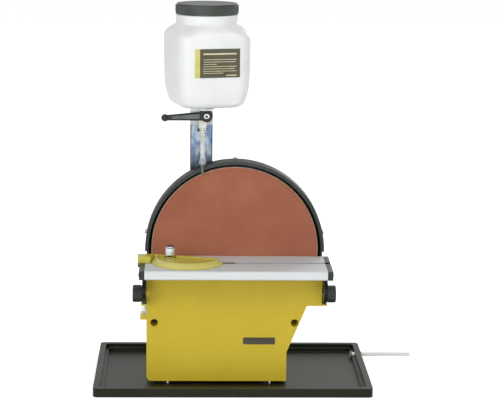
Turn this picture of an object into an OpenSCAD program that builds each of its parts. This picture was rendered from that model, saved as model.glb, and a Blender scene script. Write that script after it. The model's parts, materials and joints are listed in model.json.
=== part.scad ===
// Benchtop disc sander for wet work: a tilting table in front of a large disc,
// a catch tray under the machine and a liquid container with a tap above it.
// Millimetres, +Z up, origin under the middle of the tray, the disc faces -Y.

/* [Tray] */
// Width of the tray over its rim
tray_w = 416; // [390:1:460]
// Depth of the tray over its rim
tray_d = 259; // [240:1:300]
// Height of the rim
tray_h = 14; // [12:0.5:20]
// Thickness of the tray's floor
tray_floor = 3; // [2:0.5:4]
// Width of the flat on top of the rim
rim_w = 9; // [7:0.5:12]
// Outer corner radius of the tray
tray_corner = 7; // [4:0.5:14]

/* [Body] */
// How far the middle of the machine stands right of the tray's middle
machine_x = 2; // [-20:1:20]
// Height of the rubber feet
foot_h = 4; // [3:0.5:8]
// Room from the disc's edge to the outside of the body's walls
body_margin = 7; // [6:0.5:14]
// Wall of the moulded shells
wall = 3.5; // [2.5:0.5:5]
// Distance from the disc's face to the front panel
cover_depth = 16; // [14:0.5:24]
// How far the pedestal's right wall stands inside the disc's edge
pedestal_inset = 45.4; // [35:0.2:60]
// Depth of the pedestal behind the disc chamber
pedestal_d = 83; // [60:1:95]

/* [Disc] */
// Diameter of the abrasive disc
disc_d = 250; // [230:1:300]
// Height of the disc's axis above the bench
disc_z = 208.3; // [205:0.1:230]
// How far the abrasive face stands in front of the tray's middle
disc_forward = 50.7; // [40:0.1:60]
// Thickness of the aluminium platen
platen_t = 12; // [8:0.5:15]
// Thickness of the abrasive sheet
paper_t = 1; // [0.6:0.1:2]
// Room from the disc's edge to the outside of the hood
hood_margin = 9.4; // [8.5:0.1:20]
// Depth of the hood from front to back
hood_d = 28; // [24:0.5:34]

/* [Table] */
// How far each end of the table stands out past the body's wall
table_overhang = 1; // [0.8:0.1:2]
// Depth of the table from front to back
table_d = 105; // [90:1:120]
// Thickness of the table
table_t = 13; // [11:0.5:16]
// How far the table's working face lies below the disc's axis
table_drop = 10.3; // [7:0.1:14]
// Running gap between the table and the abrasive face
table_gap = 2; // [1.5:0.1:3]
// Thickness of the end brackets' caps
cap_t = 7.9; // [6:0.1:10]
// Radius of the end brackets' quadrants about the tilt axis
trunnion_r = 71.3; // [62:0.1:80]
// Width of the mitre groove
groove_w = 10; // [8:0.5:14]
// Distance of the groove's middle from the table's front edge
groove_front = 57; // [40:1:70]
// Diameter of the clamping knobs
knob_d = 26; // [22:0.5:28]
// Length of the clamping knobs
knob_l = 15; // [12:0.5:20]

/* [Mitre gauge] */
// Radius of the gauge's bevelled half disc at its foot
gauge_r = 54; // [48:1:58]
// Height of the gauge's fence above the table
gauge_h = 9.5; // [8:0.5:14]
// Angle at which the gauge stands
gauge_angle = 17; // [0:1:20]
// Distance of the gauge's thumb screw from the table's left end
gauge_inset = 36.5; // [28:0.5:60]

/* [Water feed] */
// Place of the tap left of the tray's middle
rig_left = 47.2; // [30:0.2:60]
// Width of the steel post
post_w = 33.4; // [28:0.2:40]
// Side of the square container
bottle_w = 111; // [95:1:125]
// Height of the container's underside above the top of the hood
bottle_rise = 85; // [75:1:110]
// Height of the container without its neck
bottle_h = 120.8; // [100:0.2:140]
// Diameter of the container's screw cap
lid_d = 92.4; // [80:0.2:95]
// Height of the screw cap
lid_h = 15.4; // [12:0.2:24]
// Angle at which the container stands on its bracket
bottle_turn = 15; // [0:1:20]
// Length of the tap's lever from its hub to its ball
lever_l = 61; // [45:1:70]

/* [Hidden] */

// Overrun of every cut past the face that it opens
over = 1;
// Clearance between pieces that move past each other
clear = 0.3;
// Radial clearance of a shaft or screw that turns in its bore
running = 0.05;
// Facets of a circle that is drawn exactly
$fn = 64;
// Facets of the shapes that a hull wraps
hull_fn = 24;

// Colours
yellow = "#c2ad3f";
black = "#2a2c2c";
dark = "#3b3e3d";
steel = "#b9bcc0";
alu = "#d3d6da";
zinc = "#93a7c4";
brown = "#a4634a";
milk = "#e8eae9";
natural = "#e4e3d4";
rubber = "#1e1f1f";

// Tray
ledge_w = 5;
ledge_z = 8;
drain_y = 78;
drain_r = 3.4;
drain_flange_r = 4.6;
drain_flange_t = 2;
drain_barb_l = 8;
drain_barb_r = 2.2;
drain_nut_r = 5;
drain_gap = 0.8;
drain_z = tray_floor + drain_nut_r + drain_gap;
drain_nut_t = 3;
spout_r = 3;
spout_l = 77;
nut_sides = 6;

// Heights and depths that the machine is built on
body_z = tray_floor + foot_h;
disc_r = disc_d / 2;
body_half = disc_r + body_margin;
body_w = 2 * body_half;
table_z = disc_z - table_drop;
tilt_angle = 45;
face_y = -disc_forward;
panel_y = face_y - cover_depth;
platen_y = face_y + paper_t;
platen_back = platen_y + platen_t;
chamber_gap = 8.5;
back_wall_y = platen_back + chamber_gap;
back_y = back_wall_y + wall;
split_y = platen_back - clear;

// Hood
hood_r = disc_r + hood_margin;
hood_t = 2.5;
hood_lip = 5.1;
hood_lip_t = 3;
hood_back_gap = 3.5;
hood_back = back_y - hood_back_gap;
hood_front = hood_back - hood_d;
hood_end_z = disc_z - hood_lip / 2;
drum_r = hood_r - hood_t - clear;
hood_screw_angles = [10, 90, 170];
hood_screw_r = 2;
hood_screw_head_r = 3.2;
hood_screw_head_t = 2.4;
hood_screw_l = 5.5;

// Front cover and body outline
corner_r = 8;
slope_foot = 45.6;
slope_reach = 29.8;
ear_t = 2.2;
shoulder_z = table_z - trunnion_r - ear_t - clear;
pedestal_right = disc_r - pedestal_inset;
shoulder_right = pedestal_right + slope_reach;
body_top = hood_end_z - clear;
lip_back = 5.3;
lip_y = face_y - lip_back;
panel_gap = 0.8;
panel_top = table_z - (cover_depth - table_gap) * tan(tilt_angle) - table_t / cos(tilt_angle) - panel_gap;
chamfer_rise = (lip_y - panel_y) * tan(tilt_angle);
side_rise_y = face_y + clear;
ear_reach = 8;
ear_front = 1;
screw_hole_r = 5.75;
screw_hole_drop = 26.4;
screw_hole_inset = 11.7;
screw_hole_z = shoulder_z - screw_hole_drop;
screw_hole_left = body_half - screw_hole_inset;
screw_hole_right_inset = 18.2;
screw_hole_right = shoulder_right - screw_hole_right_inset;
screw_core_r = 2;
cover_screw_head_r = 4.2;
cover_screw_head_t = 3;
cover_screw_l = 10;
seat_t = 4;
rear_boss_r = 6.5;

// Switch on the left wall
switch_lead = 1.3;
switch_drop = 8.2;
switch_y = face_y - switch_lead;
switch_z = shoulder_z - switch_drop;
switch_w = 15;
switch_h = 13;
switch_depth = 20;
switch_bezel = 2;
switch_bezel_t = 1.2;
rocker_t = 3.2;
rocker_margin = 1.4;
rocker_angle = 7;
rocker_barrel_r = 2;
guard_t = 1.2;
guard_reach = 8;
lip_h = 8;
lip_reach = 9.5;
lip_len = 22;

// Pedestal and base
pedestal_left_inset = 5;
pedestal_left = disc_r - pedestal_left_inset;
pedestal_back = back_y + pedestal_d;
neck_half = 46;
neck_d = 62;
base_t = 2;
foot_r = 9;
foot_screw_r = 2.5;
foot_screw_head_r = 4.5;
foot_screw_head_t = 2.5;
foot_left_inset = 19;
foot_right_inset = 30;
foot_left = pedestal_left - foot_left_inset;
foot_right = pedestal_right - foot_right_inset;
foot_front_inset = 12;
foot_back_inset = 14;
vent_count = 6;
vent_w = 4;
vent_h = 46;
vent_pitch = 9;
vent_x = 2;
vent_z = 40;

// Dust spigot and cable gland at the back of the pedestal
spigot_r = 19;
spigot_bore = 16.5;
spigot_l = 30;
spigot_flange_r = 24;
spigot_flange_t = 3;
spigot_inset = 36;
spigot_x = -pedestal_left + spigot_inset;
spigot_z = 60;
gland_r = 8;
gland_l = 14;
gland_bore = 4;
gland_inset = 25.6;
gland_x = pedestal_right - gland_inset;
gland_z = 34;
gland_nut_r = 10;
gland_nut_t = 4;
board_w = 70;
board_d = 40;
board_t = 1.6;
board_z = 40;
board_part_h = 18;
board_part_d = 15;
board_post_r = 3;

// Motor
motor_r = 50;
motor_wall = 5;
motor_l = 87;
fin_count = 24;
fin_h = 6;
fin_t = 2.2;
fin_start = 14;
fin_gap = 1;
motor_room = 24.3;
pedestal_top = disc_z - motor_r - fin_h - motor_room;
shaft_r = 8;
bearing_r = 16;
bearing_w = 8;
front_wall_t = 15;
shaft_hole_r = 10;
shield_t = 10;
stator_gap = 12;
stator_l = 52;
stator_bore = 30;
air_gap = 0.6;
fan_hub_r = 14;
fan_r = 42;
fan_w = 12;
fan_blades = 9;
fan_blade_t = 1.6;
fan_blade_inset = 1;
fan_gap = 4;
cowl_wall = 2;
cowl_l = 32;
cowl_overlap = 10;
fin_l = motor_l - cowl_overlap - fin_start - fin_gap;
cowl_slots = 16;
cowl_slot_w = 4;
cowl_slot_r0 = 16;
cowl_slot_r1 = 46;
platen_hub_r = 26;
platen_hub_gap = 1.5;
platen_rim_t = 5;
platen_rim_w = 8;
platen_web_r = 40;

// Table
tilt_y = face_y - table_gap;
tilt_z = table_z;
table_front = tilt_y - table_d;
table_under = table_z - table_t;
back_lip = 2;
groove_depth = 6;
groove_y = table_front + groove_front;
channel_h = 5;
channel_w = 22;
channel_inset = 10;
front_round = 1.5;
table_half = body_half + table_overhang;
trunnion_t = 5;
trunnion_gap = 0.5;
trunnion_in = body_half + trunnion_gap;
trunnion_out = trunnion_in + trunnion_t;
trunnion_back_angle = 9;
trunnion_sweep_angle = 58;
slot_end_angle = 3;
knob_r = knob_d / 2;
knob_margin = 1.1;
knob_arm = trunnion_r - knob_r - knob_margin;
knob_lead_angle = 5.3;
stud_r = 3;
stud_l = 26;
pin_arm = 30;
pin_lead_angle = 9;
pin_r = 2.5;
pin_head_r = 4;
pin_head_t = 1.6;
pin_l = 10;
knob_flutes = 22;
flute_r = 0.9;
knob_skirt = 2.5;
knob_boss_r = 6.4;
table_screw_r = 2;
table_screw_head_r = 3.6;
table_screw_head_t = 2.2;
table_screw_l = 16;
table_screw_inset = 12;

// Gauge
gauge_x = -table_half + gauge_inset;
gauge_y = groove_y;
fence_t = 6;
fence_back = 12;
fence_left = 25.6;
arc_shift = 24.4;
head_cut_x = 17;
head_cut_r = norm([fence_left, fence_back]);
base_left = 47.6;
base_front = 2.3;
base_back = 18;
base_gap = 0.7;
bar_w = groove_w - 2 * clear;
bar_t = groove_depth - clear;
bar_left = base_left;
bar_right = 96;
bevel = 8.6;
gauge_foot = table_z + clear;
gauge_top = table_z + gauge_h;
step_h = 1;
thumb_r = 6.6;
thumb_h = 13;
thumb_neck_r = 4.4;
thumb_neck_h = 2.4;
thumb_groove_h = 1.2;
thumb_knurls = 18;
thumb_knurl_r = 0.5;

// Post and container
rig_x = -rig_left;
post_shift = 1.6;
post_x = rig_x - post_shift;
bottle_z = disc_z + hood_r + bottle_rise;
post_t = 3;
post_flange = 12;
post_foot_rise = 53.7;
post_foot = disc_z + post_foot_rise;
post_top = bottle_z - clear;
post_bolt_rises = [67.7, 97.7];
post_bolt_zs = [for (rise = post_bolt_rises) disc_z + rise];
post_bolt_r = 3;
post_bolt_head_r = 5.5;
post_bolt_head_t = 4;
bracket_t = 3;
bracket_drop = 34;
bracket_foot = bottle_z - bracket_drop;
bracket_reach = 74;
bracket_screw_drop = 10;
bracket_screw_spread = 10;
bracket_screw_r = 2.5;
bracket_screw_head_r = 4.5;
bracket_screw_head_t = 2.6;
bottle_shift = 5.3;
bottle_x = rig_x + bottle_shift;
tap_forward = 4.8;
tap_y = hood_front - tap_forward;
bottle_y = tap_y;
bottle_wall = 2.2;
bottle_corner = 28;
bottle_edge = 21;
bottle_shoulder_h = 20.8;
bottle_side_h = bottle_h - bottle_shoulder_h;
shoulder_drop = 12;
lid_gap = 0.4;
lid_wall = 2.2;
lid_ribs = 60;
lid_rib_r = 0.5;
lid_top_t = 3.2;
lid_rise = 13.8;
mouth_r = lid_d / 2 - lid_rib_r - lid_wall;
neck_h = lid_rise + lid_h - lid_top_t - lid_gap;
neck_top = bottle_z + bottle_h + neck_h;
lid_foot = bottle_z + bottle_h + lid_rise;

// Tap, hose and nozzle
tap_thread_r = 6.5;
tap_flange_t = 3;
tap_stub_r = 7;
valve_r = 8.5;
valve_drop = 13.7;
valve_shift = 5.4;
valve_front = 9.5;
tap_flange_r = valve_front - clear;
valve_back = 10;
outlet_w = 11;
outlet_foot = 33;
outlet_d = 12;
barb_r = 2.8;
barb_foot = 42;
tap_bore = 1.8;
tap_nut_r = 11;
tap_nut_t = 5;
hub_r = 9.4;
hub_l = 14;
lever_r0 = 5.2;
lever_r1 = 3.1;
lever_ball = 5.4;
lever_drop = 2;
lever_screw_r = 2.5;
lever_screw_head_r = 4.4;
lever_screw_head_t = 3;
lever_screw_l = 18;
hose_r = 4.2;
hose_top = 36;
hose_foot = 82;
nozzle_cone_r = 4.8;
nozzle_cone_h = 12;
nozzle_r = 2.1;
nozzle_foot = 105;
clip_r = 5.6;
clip_h = 5;
clip_z = 40;
clip_ear_l = 5;
clip_ear_w = 4;

// Moves a piece from the machine's own middle to its place over the tray
module machine() {
    translate([machine_x, 0, 0]) children();
}

// Draws a piece on the right side, or mirrored on the left
module on_side(side) {
    machine() if (side > 0) children(); else mirror([1, 0, 0]) children();
}

// An outline in X and Z, drawn out from y0 to y1
module along_y(y0, y1) {
    translate([0, y1, 0]) rotate([90, 0, 0]) linear_extrude(y1 - y0) children();
}

// An outline in Y and Z, drawn out from x0 to x1
module along_x(x0, x1) {
    translate([x0, 0, 0]) rotate([90, 0, 90]) linear_extrude(x1 - x0) children();
}

module rod_x(y, z, x0, x1, r) {
    translate([x0, y, z]) rotate([0, 90, 0]) cylinder(r = r, h = x1 - x0);
}

module rod_y(x, z, y0, y1, r) {
    translate([x, y0, z]) rotate([-90, 0, 0]) cylinder(r = r, h = y1 - y0);
}

module rod_z(x, y, z0, z1, r) {
    translate([x, y, z0]) cylinder(r = r, h = z1 - z0);
}

module block(low, high) {
    translate(low) cube(high - low);
}

module round_rect(w, d, r) {
    square([w - 2 * r, d], center = true);
    square([w, d - 2 * r], center = true);
    for (sx = [-1, 1], sy = [-1, 1])
        translate([sx * (w / 2 - r), sy * (d / 2 - r)]) circle(r);
}

// Point on a circle about the tilt axis, led forward from straight below it
function arm_point(arm, lead) = [tilt_y - arm * sin(lead), tilt_z - arm * cos(lead)];

// Tray with a flat rim, a ledge inside it and a hole for the drain
module drip_tray() {
    color(black) difference() {
        linear_extrude(tray_h) round_rect(tray_w, tray_d, tray_corner);
        translate([0, 0, ledge_z]) linear_extrude(tray_h)
            round_rect(tray_w - 2 * rim_w, tray_d - 2 * rim_w, tray_corner);
        translate([0, 0, tray_floor]) linear_extrude(tray_h)
            round_rect(tray_w - 2 * (rim_w + ledge_w), tray_d - 2 * (rim_w + ledge_w), tray_corner);
        rod_x(drain_y, drain_z, tray_w / 2 - rim_w - ledge_w - over, tray_w / 2 + over, drain_r);
    }
}

drain_in = tray_w / 2 - rim_w - ledge_w;
drain_out = tray_w / 2;

module drain_fitting() {
    color(natural) difference() {
        union() {
            rod_x(drain_y, drain_z, drain_in - drain_nut_t, drain_out, drain_r);
            rod_x(drain_y, drain_z, drain_out, drain_out + drain_flange_t, drain_flange_r);
            rod_x(drain_y, drain_z, drain_out, drain_out + drain_barb_l, drain_barb_r);
        }
        rod_x(drain_y, drain_z, drain_in - drain_nut_t - over, drain_out + drain_barb_l + over,
            drain_barb_r / 2);
    }
}

module drain_nut() {
    color(natural) difference() {
        translate([drain_in - drain_nut_t, drain_y, drain_z]) rotate([0, 90, 0])
            cylinder(r = drain_nut_r, h = drain_nut_t, $fn = nut_sides);
        rod_x(drain_y, drain_z, drain_in - drain_nut_t - over, drain_in + over, drain_r);
    }
}

module drain_spout() {
    spout_x = drain_out + drain_flange_t;
    color(milk) difference() {
        rod_x(drain_y, drain_z, spout_x, spout_x + spout_l, spout_r);
        rod_x(drain_y, drain_z, spout_x - over, spout_x + spout_l + over, drain_barb_r);
    }
}

// Feet, their screws and the plate that they hold
foot_xs = [-foot_left, foot_right];
foot_ys = [panel_y + foot_front_inset, pedestal_back - foot_back_inset];

module at_feet() {
    machine() for (x = foot_xs, y = foot_ys) translate([x, y, 0]) children();
}

module rubber_feet() {
    color(rubber) at_feet() difference() {
        rod_z(0, 0, tray_floor, body_z, foot_r);
        rod_z(0, 0, tray_floor - over, body_z + over, foot_screw_r);
    }
}

module foot_screws() {
    color(steel) at_feet() {
        rod_z(0, 0, tray_floor, body_z + base_t, foot_screw_r);
        rod_z(0, 0, body_z + base_t, body_z + base_t + foot_screw_head_t, foot_screw_head_r);
    }
}

module base_plate() {
    color(steel) difference() {
        machine() block([-pedestal_left + wall, panel_y + wall, body_z],
            [pedestal_right - wall, pedestal_back - wall, body_z + base_t]);
        at_feet() rod_z(0, 0, body_z - over, body_z + base_t + over, foot_screw_r);
    }
}

// Front view of the body, inset by i from its walls
module body_outline(i, left) {
    polygon([
        [-left + i, body_z + corner_r],
        [-left + corner_r, body_z + i],
        [pedestal_right - i, body_z + i],
        [pedestal_right - i, body_z + slope_foot],
        [shoulder_right - i, shoulder_z + i],
        [body_half - i, shoulder_z + i],
        [body_half - i, body_top],
        [-left + i, body_top]
    ]);
    translate([-left + corner_r, body_z + corner_r]) circle(corner_r - i);
}

// Pan of the disc chamber, pedestal for the base and a neck that carries the motor
module rear_housing() {
    color(yellow) machine() difference() {
        union() {
            along_y(split_y, back_y) {
                body_outline(0, body_half);
                upper_half(drum_r);
            }
            along_y(back_y, pedestal_back) pedestal_outline(0);
            block([-neck_half, back_y, pedestal_top - wall], [neck_half, back_y + neck_d, disc_z]);
        }
        difference() {
            chamber();
            for (x = [-screw_hole_left, screw_hole_right])
                rod_y(x, screw_hole_z, split_y - 2 * over, back_wall_y + over, rear_boss_r);
        }
        for (x = [-screw_hole_left, screw_hole_right])
            rod_y(x, screw_hole_z, split_y - over, back_wall_y, screw_core_r);
        along_y(back_y, pedestal_back - wall) pedestal_outline(wall);
        block([-neck_half + wall, back_y, pedestal_top - wall - over],
            [neck_half - wall, back_y + neck_d - wall, disc_z + over]);
        rod_y(0, disc_z, back_y, back_y + neck_d + over, motor_r + fin_h);
        rod_y(0, disc_z, back_wall_y - over, back_y + over, motor_r / 2);
        base_cut();
        rod_y(spigot_x, spigot_z, back_wall_y - over, pedestal_back + over, spigot_r);
        rod_y(gland_x, gland_z, pedestal_back - wall - over, pedestal_back + over, gland_r);
        for (k = [0 : vent_count - 1])
            block([vent_x + (k - vent_count / 2) * vent_pitch, pedestal_back - wall - over, vent_z],
                [vent_x + (k - vent_count / 2) * vent_pitch + vent_w, pedestal_back + over,
                    vent_z + vent_h]);
        for (z = post_bolt_zs)
            rod_y(post_x - machine_x, z, back_wall_y - over, back_y + over, post_bolt_r);
        for (a = hood_screw_angles) hood_screw_hole(a);
    }
}

// Room for the disc inside the pan
module chamber() {
    along_y(split_y - over, back_wall_y) {
        body_outline(wall, body_half);
        upper_half(drum_r - wall);
        translate([-body_half + wall, body_top - over]) square([body_w - 2 * wall, 2 * over]);
    }
}

module upper_half(r) {
    intersection() {
        translate([0, disc_z]) circle(r);
        translate([-r, body_top]) square([2 * r, 2 * r]);
    }
}

module pedestal_outline(i) {
    polygon([
        [-pedestal_left + i, body_z - (i > 0 ? over : 0)],
        [pedestal_right - i, body_z - (i > 0 ? over : 0)],
        [pedestal_right - i, pedestal_top - i],
        [-pedestal_left + i, pedestal_top - i]
    ]);
}

// Room in the floor of the shells for the base plate and the heads of its screws
module base_cut() {
    block([-pedestal_left + wall, panel_y + wall, body_z - over],
        [pedestal_right - wall, pedestal_back - wall, body_z + base_t]);
    for (x = foot_xs, y = foot_ys) rod_z(x, y, body_z, body_z + 2 * wall, foot_screw_head_r + clear);
}

module front_cover() {
    color(yellow) machine() difference() {
        union() {
            difference() {
                along_y(panel_y, split_y) body_outline(0, body_half);
                cover_top_cut(0);
            }
            for (s = [-1, 1]) side_ear(s);
            block([-body_half - lip_reach, switch_y - lip_len / 2, switch_z - switch_h / 2 - lip_h],
                [-body_half + wall, switch_y + lip_len / 2, switch_z - switch_h / 2 - clear]);
        }
        difference() {
            along_y(panel_y + wall, split_y + over) {
                body_outline(wall, body_half);
                translate([-body_half + wall, body_top - over])
                    square([body_w - 2 * wall, 2 * over]);
            }
            cover_top_cut(wall);
            for (x = [-screw_hole_left, screw_hole_right])
                rod_y(x, screw_hole_z, panel_y, split_y, screw_hole_r + wall / 2);
            for (s = [-1, 1]) knob_boss(s);
        }
        for (x = [-screw_hole_left, screw_hole_right]) {
            rod_y(x, screw_hole_z, panel_y - over, split_y - seat_t, screw_hole_r);
            rod_y(x, screw_hole_z, panel_y, split_y + over, screw_core_r);
        }
        for (s = [-1, 1]) {
            side_bore(s, knob_arm, knob_lead_angle, stud_r + running, stud_l);
            side_bore(s, pin_arm, pin_lead_angle, pin_r, pin_l);
        }
        block([-body_half - over, switch_y - switch_w / 2, switch_z - switch_h / 2],
            [-body_half + wall + over, switch_y + switch_w / 2, switch_z + switch_h / 2]);
        base_cut();
    }
}

// The cover's top slopes away from the table's tilt, and stays open along the disc
module cover_top_cut(i) {
    along_x(-body_w, body_w) polygon([
        [panel_y - over, panel_top - over - i],
        [lip_y, panel_top + chamfer_rise - i],
        [lip_y, panel_top + chamfer_rise],
        [i > 0 ? lip_y : side_rise_y, panel_top + chamfer_rise],
        [i > 0 ? lip_y : side_rise_y, disc_z + over],
        [panel_y - over, disc_z + over]
    ]);
}

module side_ear(s) {
    x0 = s > 0 ? body_half - wall : -body_half - ear_reach;
    block([x0, panel_y + ear_front, shoulder_z],
        [x0 + ear_reach + wall, split_y - ear_front, shoulder_z + ear_t]);
}

module knob_boss(s) {
    p = arm_point(knob_arm, knob_lead_angle);
    x0 = s > 0 ? body_half - stud_l + trunnion_t : -body_half;
    rod_x(p[0], p[1], x0, x0 + stud_l - trunnion_t, knob_boss_r);
}

module side_bore(s, arm, lead, r, l) {
    p = arm_point(arm, lead);
    x0 = s > 0 ? body_half - l : -body_half - over;
    rod_x(p[0], p[1], x0, x0 + l + over, r);
}

module cover_screws() {
    seat_y = split_y - seat_t;
    color(dark) machine() for (x = [-screw_hole_left, screw_hole_right]) {
        rod_y(x, screw_hole_z, seat_y - cover_screw_head_t, seat_y, cover_screw_head_r);
        rod_y(x, screw_hole_z, seat_y, seat_y + cover_screw_l, screw_core_r);
    }
}

// Half ring over the disc with a lip in front
module disc_hood() {
    color(black) machine() difference() {
        translate([0, hood_front, disc_z]) rotate([-90, 0, 0]) rotate_extrude() {
            translate([hood_r - hood_t, 0]) square([hood_t, hood_d]);
            translate([hood_r - hood_lip, 0]) square([hood_lip, hood_lip_t]);
        }
        block([-hood_r - over, hood_front - over, disc_z - hood_r - over],
            [hood_r + over, hood_back + over, hood_end_z]);
        for (a = hood_screw_angles) hood_screw_hole(a);
    }
}

hood_screw_y = (split_y + hood_back) / 2;

module at_hood_screw(a) {
    translate([0, hood_screw_y, disc_z]) rotate([0, 90 - a, 0]) children();
}

module hood_screw_hole(a) {
    at_hood_screw(a) rod_z(0, 0, hood_r - hood_screw_l, hood_r + over, hood_screw_r);
}

module hood_screws() {
    color(steel) machine() for (a = hood_screw_angles) at_hood_screw(a) {
        rod_z(0, 0, hood_r - hood_screw_l, hood_r, hood_screw_r);
        rod_z(0, 0, hood_r, hood_r + hood_screw_head_t, hood_screw_head_r);
    }
}

// Motor behind the disc
motor_back = back_y + motor_l;
front_bearing_y = back_y + front_wall_t - bearing_w;
rear_bearing_y = motor_back;
stator_y = back_y + front_wall_t + stator_gap;
cowl_y = motor_back - cowl_overlap;
fan_y = motor_back + shield_t + fan_gap;

module motor_housing() {
    color(dark) machine() difference() {
        union() {
            rod_y(0, disc_z, back_y, motor_back, motor_r);
            for (k = [0 : fin_count - 1])
                translate([0, back_y + fin_start, disc_z]) rotate([0, k * 360 / fin_count, 0])
                    translate([motor_r - fin_h, 0, -fin_t / 2]) cube([2 * fin_h - clear, fin_l, fin_t]);
        }
        rod_y(0, disc_z, back_y + front_wall_t, motor_back + over, motor_r - motor_wall);
        rod_y(0, disc_z, front_bearing_y, motor_back, bearing_r);
        rod_y(0, disc_z, back_y - over, motor_back, shaft_hole_r);
    }
}

module motor_end_shield() {
    color(alu) machine() difference() {
        rod_y(0, disc_z, motor_back, motor_back + shield_t, motor_r);
        rod_y(0, disc_z, motor_back - over, motor_back + bearing_w, bearing_r);
        rod_y(0, disc_z, motor_back, motor_back + shield_t + over, shaft_hole_r);
    }
}

// Cowl over the fan, with a ring of vent slots in its back
module fan_cover() {
    cowl_r = motor_r + clear + cowl_wall;
    color(black) machine() difference() {
        rod_y(0, disc_z, cowl_y, cowl_y + cowl_l + cowl_overlap, cowl_r);
        rod_y(0, disc_z, cowl_y - over, cowl_y + cowl_l + cowl_overlap - cowl_wall, motor_r);
        for (k = [0 : cowl_slots - 1])
            translate([0, cowl_y + cowl_l + cowl_overlap - cowl_wall - over, disc_z])
                rotate([0, k * 360 / cowl_slots, 0])
                    translate([cowl_slot_r0, 0, -cowl_slot_w / 2])
                        cube([cowl_slot_r1 - cowl_slot_r0, cowl_wall + 2 * over, cowl_slot_w]);
    }
}

module ring_y(y0, y1, r, bore) {
    difference() {
        rod_y(0, disc_z, y0, y1, r);
        rod_y(0, disc_z, y0 - over, y1 + over, bore);
    }
}

module stator() {
    color(steel) machine() ring_y(stator_y, stator_y + stator_l, motor_r - motor_wall, stator_bore);
}

module front_bearing() {
    color(steel) machine()
        ring_y(front_bearing_y, front_bearing_y + bearing_w, bearing_r, shaft_r + running);
}

module rear_bearing() {
    color(steel) machine()
        ring_y(rear_bearing_y, rear_bearing_y + bearing_w, bearing_r, shaft_r + running);
}

module motor_shaft() {
    color(steel) machine() rod_y(0, disc_z, platen_y, fan_y + fan_w, shaft_r);
}

module rotor() {
    color(steel) machine() ring_y(stator_y, stator_y + stator_l, stator_bore - air_gap, shaft_r);
}

module cooling_fan() {
    color(black) machine() {
        ring_y(fan_y, fan_y + fan_w, fan_hub_r, shaft_r);
        for (k = [0 : fan_blades - 1])
            translate([0, fan_y + fan_blade_inset, disc_z]) rotate([0, k * 360 / fan_blades, 0])
                translate([(fan_hub_r + shaft_r) / 2, 0, -fan_blade_t / 2])
                    cube([fan_r - (fan_hub_r + shaft_r) / 2, fan_w - 2 * fan_blade_inset, fan_blade_t]);
    }
}

// Turned aluminium platen: a web with a thick rim and a hub on the shaft
module platen() {
    hub_l = back_wall_y - platen_y - platen_hub_gap;
    color(alu) machine() difference() {
        union() {
            rod_y(0, disc_z, platen_y, platen_back, disc_r);
            rod_y(0, disc_z, platen_y, platen_y + hub_l, platen_hub_r);
        }
        rod_y(0, disc_z, platen_y - over, platen_y + hub_l + over, shaft_r);
        difference() {
            rod_y(0, disc_z, platen_back - platen_rim_t, platen_back + over, disc_r - platen_rim_w);
            rod_y(0, disc_z, platen_y, platen_back + 2 * over, platen_web_r);
        }
    }
}

module abrasive_disc() {
    color(brown) machine() rod_y(0, disc_z, face_y, platen_y, disc_r);
}

// Extruded aluminium table with a mitre groove and a back edge cut under for the tilt
module table_plate() {
    color(alu) machine() difference() {
        along_x(-table_half, table_half) table_profile();
        for (s = [-1, 1]) table_screw_holes(s, table_screw_r);
    }
}

module table_profile() {
    undercut = table_t - back_lip;
    rear = tilt_y - undercut - channel_inset;
    front = table_front + channel_inset;
    groove_bed = table_z - groove_depth;
    difference() {
        polygon([
            [table_front, table_under + front_round],
            [table_front + front_round, table_under],
            [tilt_y - undercut, table_under],
            [tilt_y, table_z - back_lip],
            [tilt_y, table_z],
            [table_front + front_round, table_z],
            [table_front, table_z - front_round]
        ]);
        translate([groove_y - groove_w / 2, groove_bed]) square([groove_w, groove_depth + over]);
        translate([front, table_under - over]) square([channel_w, channel_h + over]);
        translate([rear - channel_w, table_under - over]) square([channel_w, channel_h + over]);
    }
}

table_screw_ys = [table_front + table_screw_inset / 2, tilt_y - table_t - table_screw_inset / 2];
table_screw_z = table_z - table_t / 2;

module table_screw_holes(s, r) {
    x0 = s > 0 ? table_half + cap_t - table_screw_l : -table_half - cap_t - over;
    for (y = table_screw_ys) rod_x(y, table_screw_z, x0, x0 + table_screw_l + over, r);
}

module table_screws() {
    color(steel) machine() for (s = [-1, 1]) {
        x0 = s > 0 ? table_half + cap_t - table_screw_l : -table_half - cap_t;
        h0 = s > 0 ? table_half + cap_t : -table_half - cap_t - table_screw_head_t;
        for (y = table_screw_ys) {
            rod_x(y, table_screw_z, x0, x0 + table_screw_l, table_screw_r);
            rod_x(y, table_screw_z, h0, h0 + table_screw_head_t, table_screw_head_r);
        }
    }
}

// End bracket: a cap on the table's end and a quadrant with two slots about the tilt axis
module trunnion(side) {
    color(black) on_side(side) difference() {
        union() {
            along_x(table_half, table_half + cap_t) cap_profile();
            along_x(trunnion_in, trunnion_out) quadrant();
        }
        along_x(trunnion_in - over, trunnion_out + over) {
            arc_slot(knob_arm, knob_lead_angle, stud_r + clear);
            arc_slot(pin_arm, pin_lead_angle, pin_r + clear);
        }
        along_x(table_half - over, table_half + cap_t + over)
            translate([groove_y - groove_w / 2, table_z - groove_depth])
                square([groove_w, groove_depth + over]);
        for (y = table_screw_ys)
            rod_x(y, table_screw_z, table_half - over, table_half + cap_t + over, table_screw_r);
    }
}

module cap_profile() {
    polygon([
        [table_front, table_under],
        [tilt_y - table_t + back_lip, table_under],
        [tilt_y, table_z - back_lip],
        [tilt_y, table_z],
        [table_front, table_z]
    ]);
}

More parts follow.
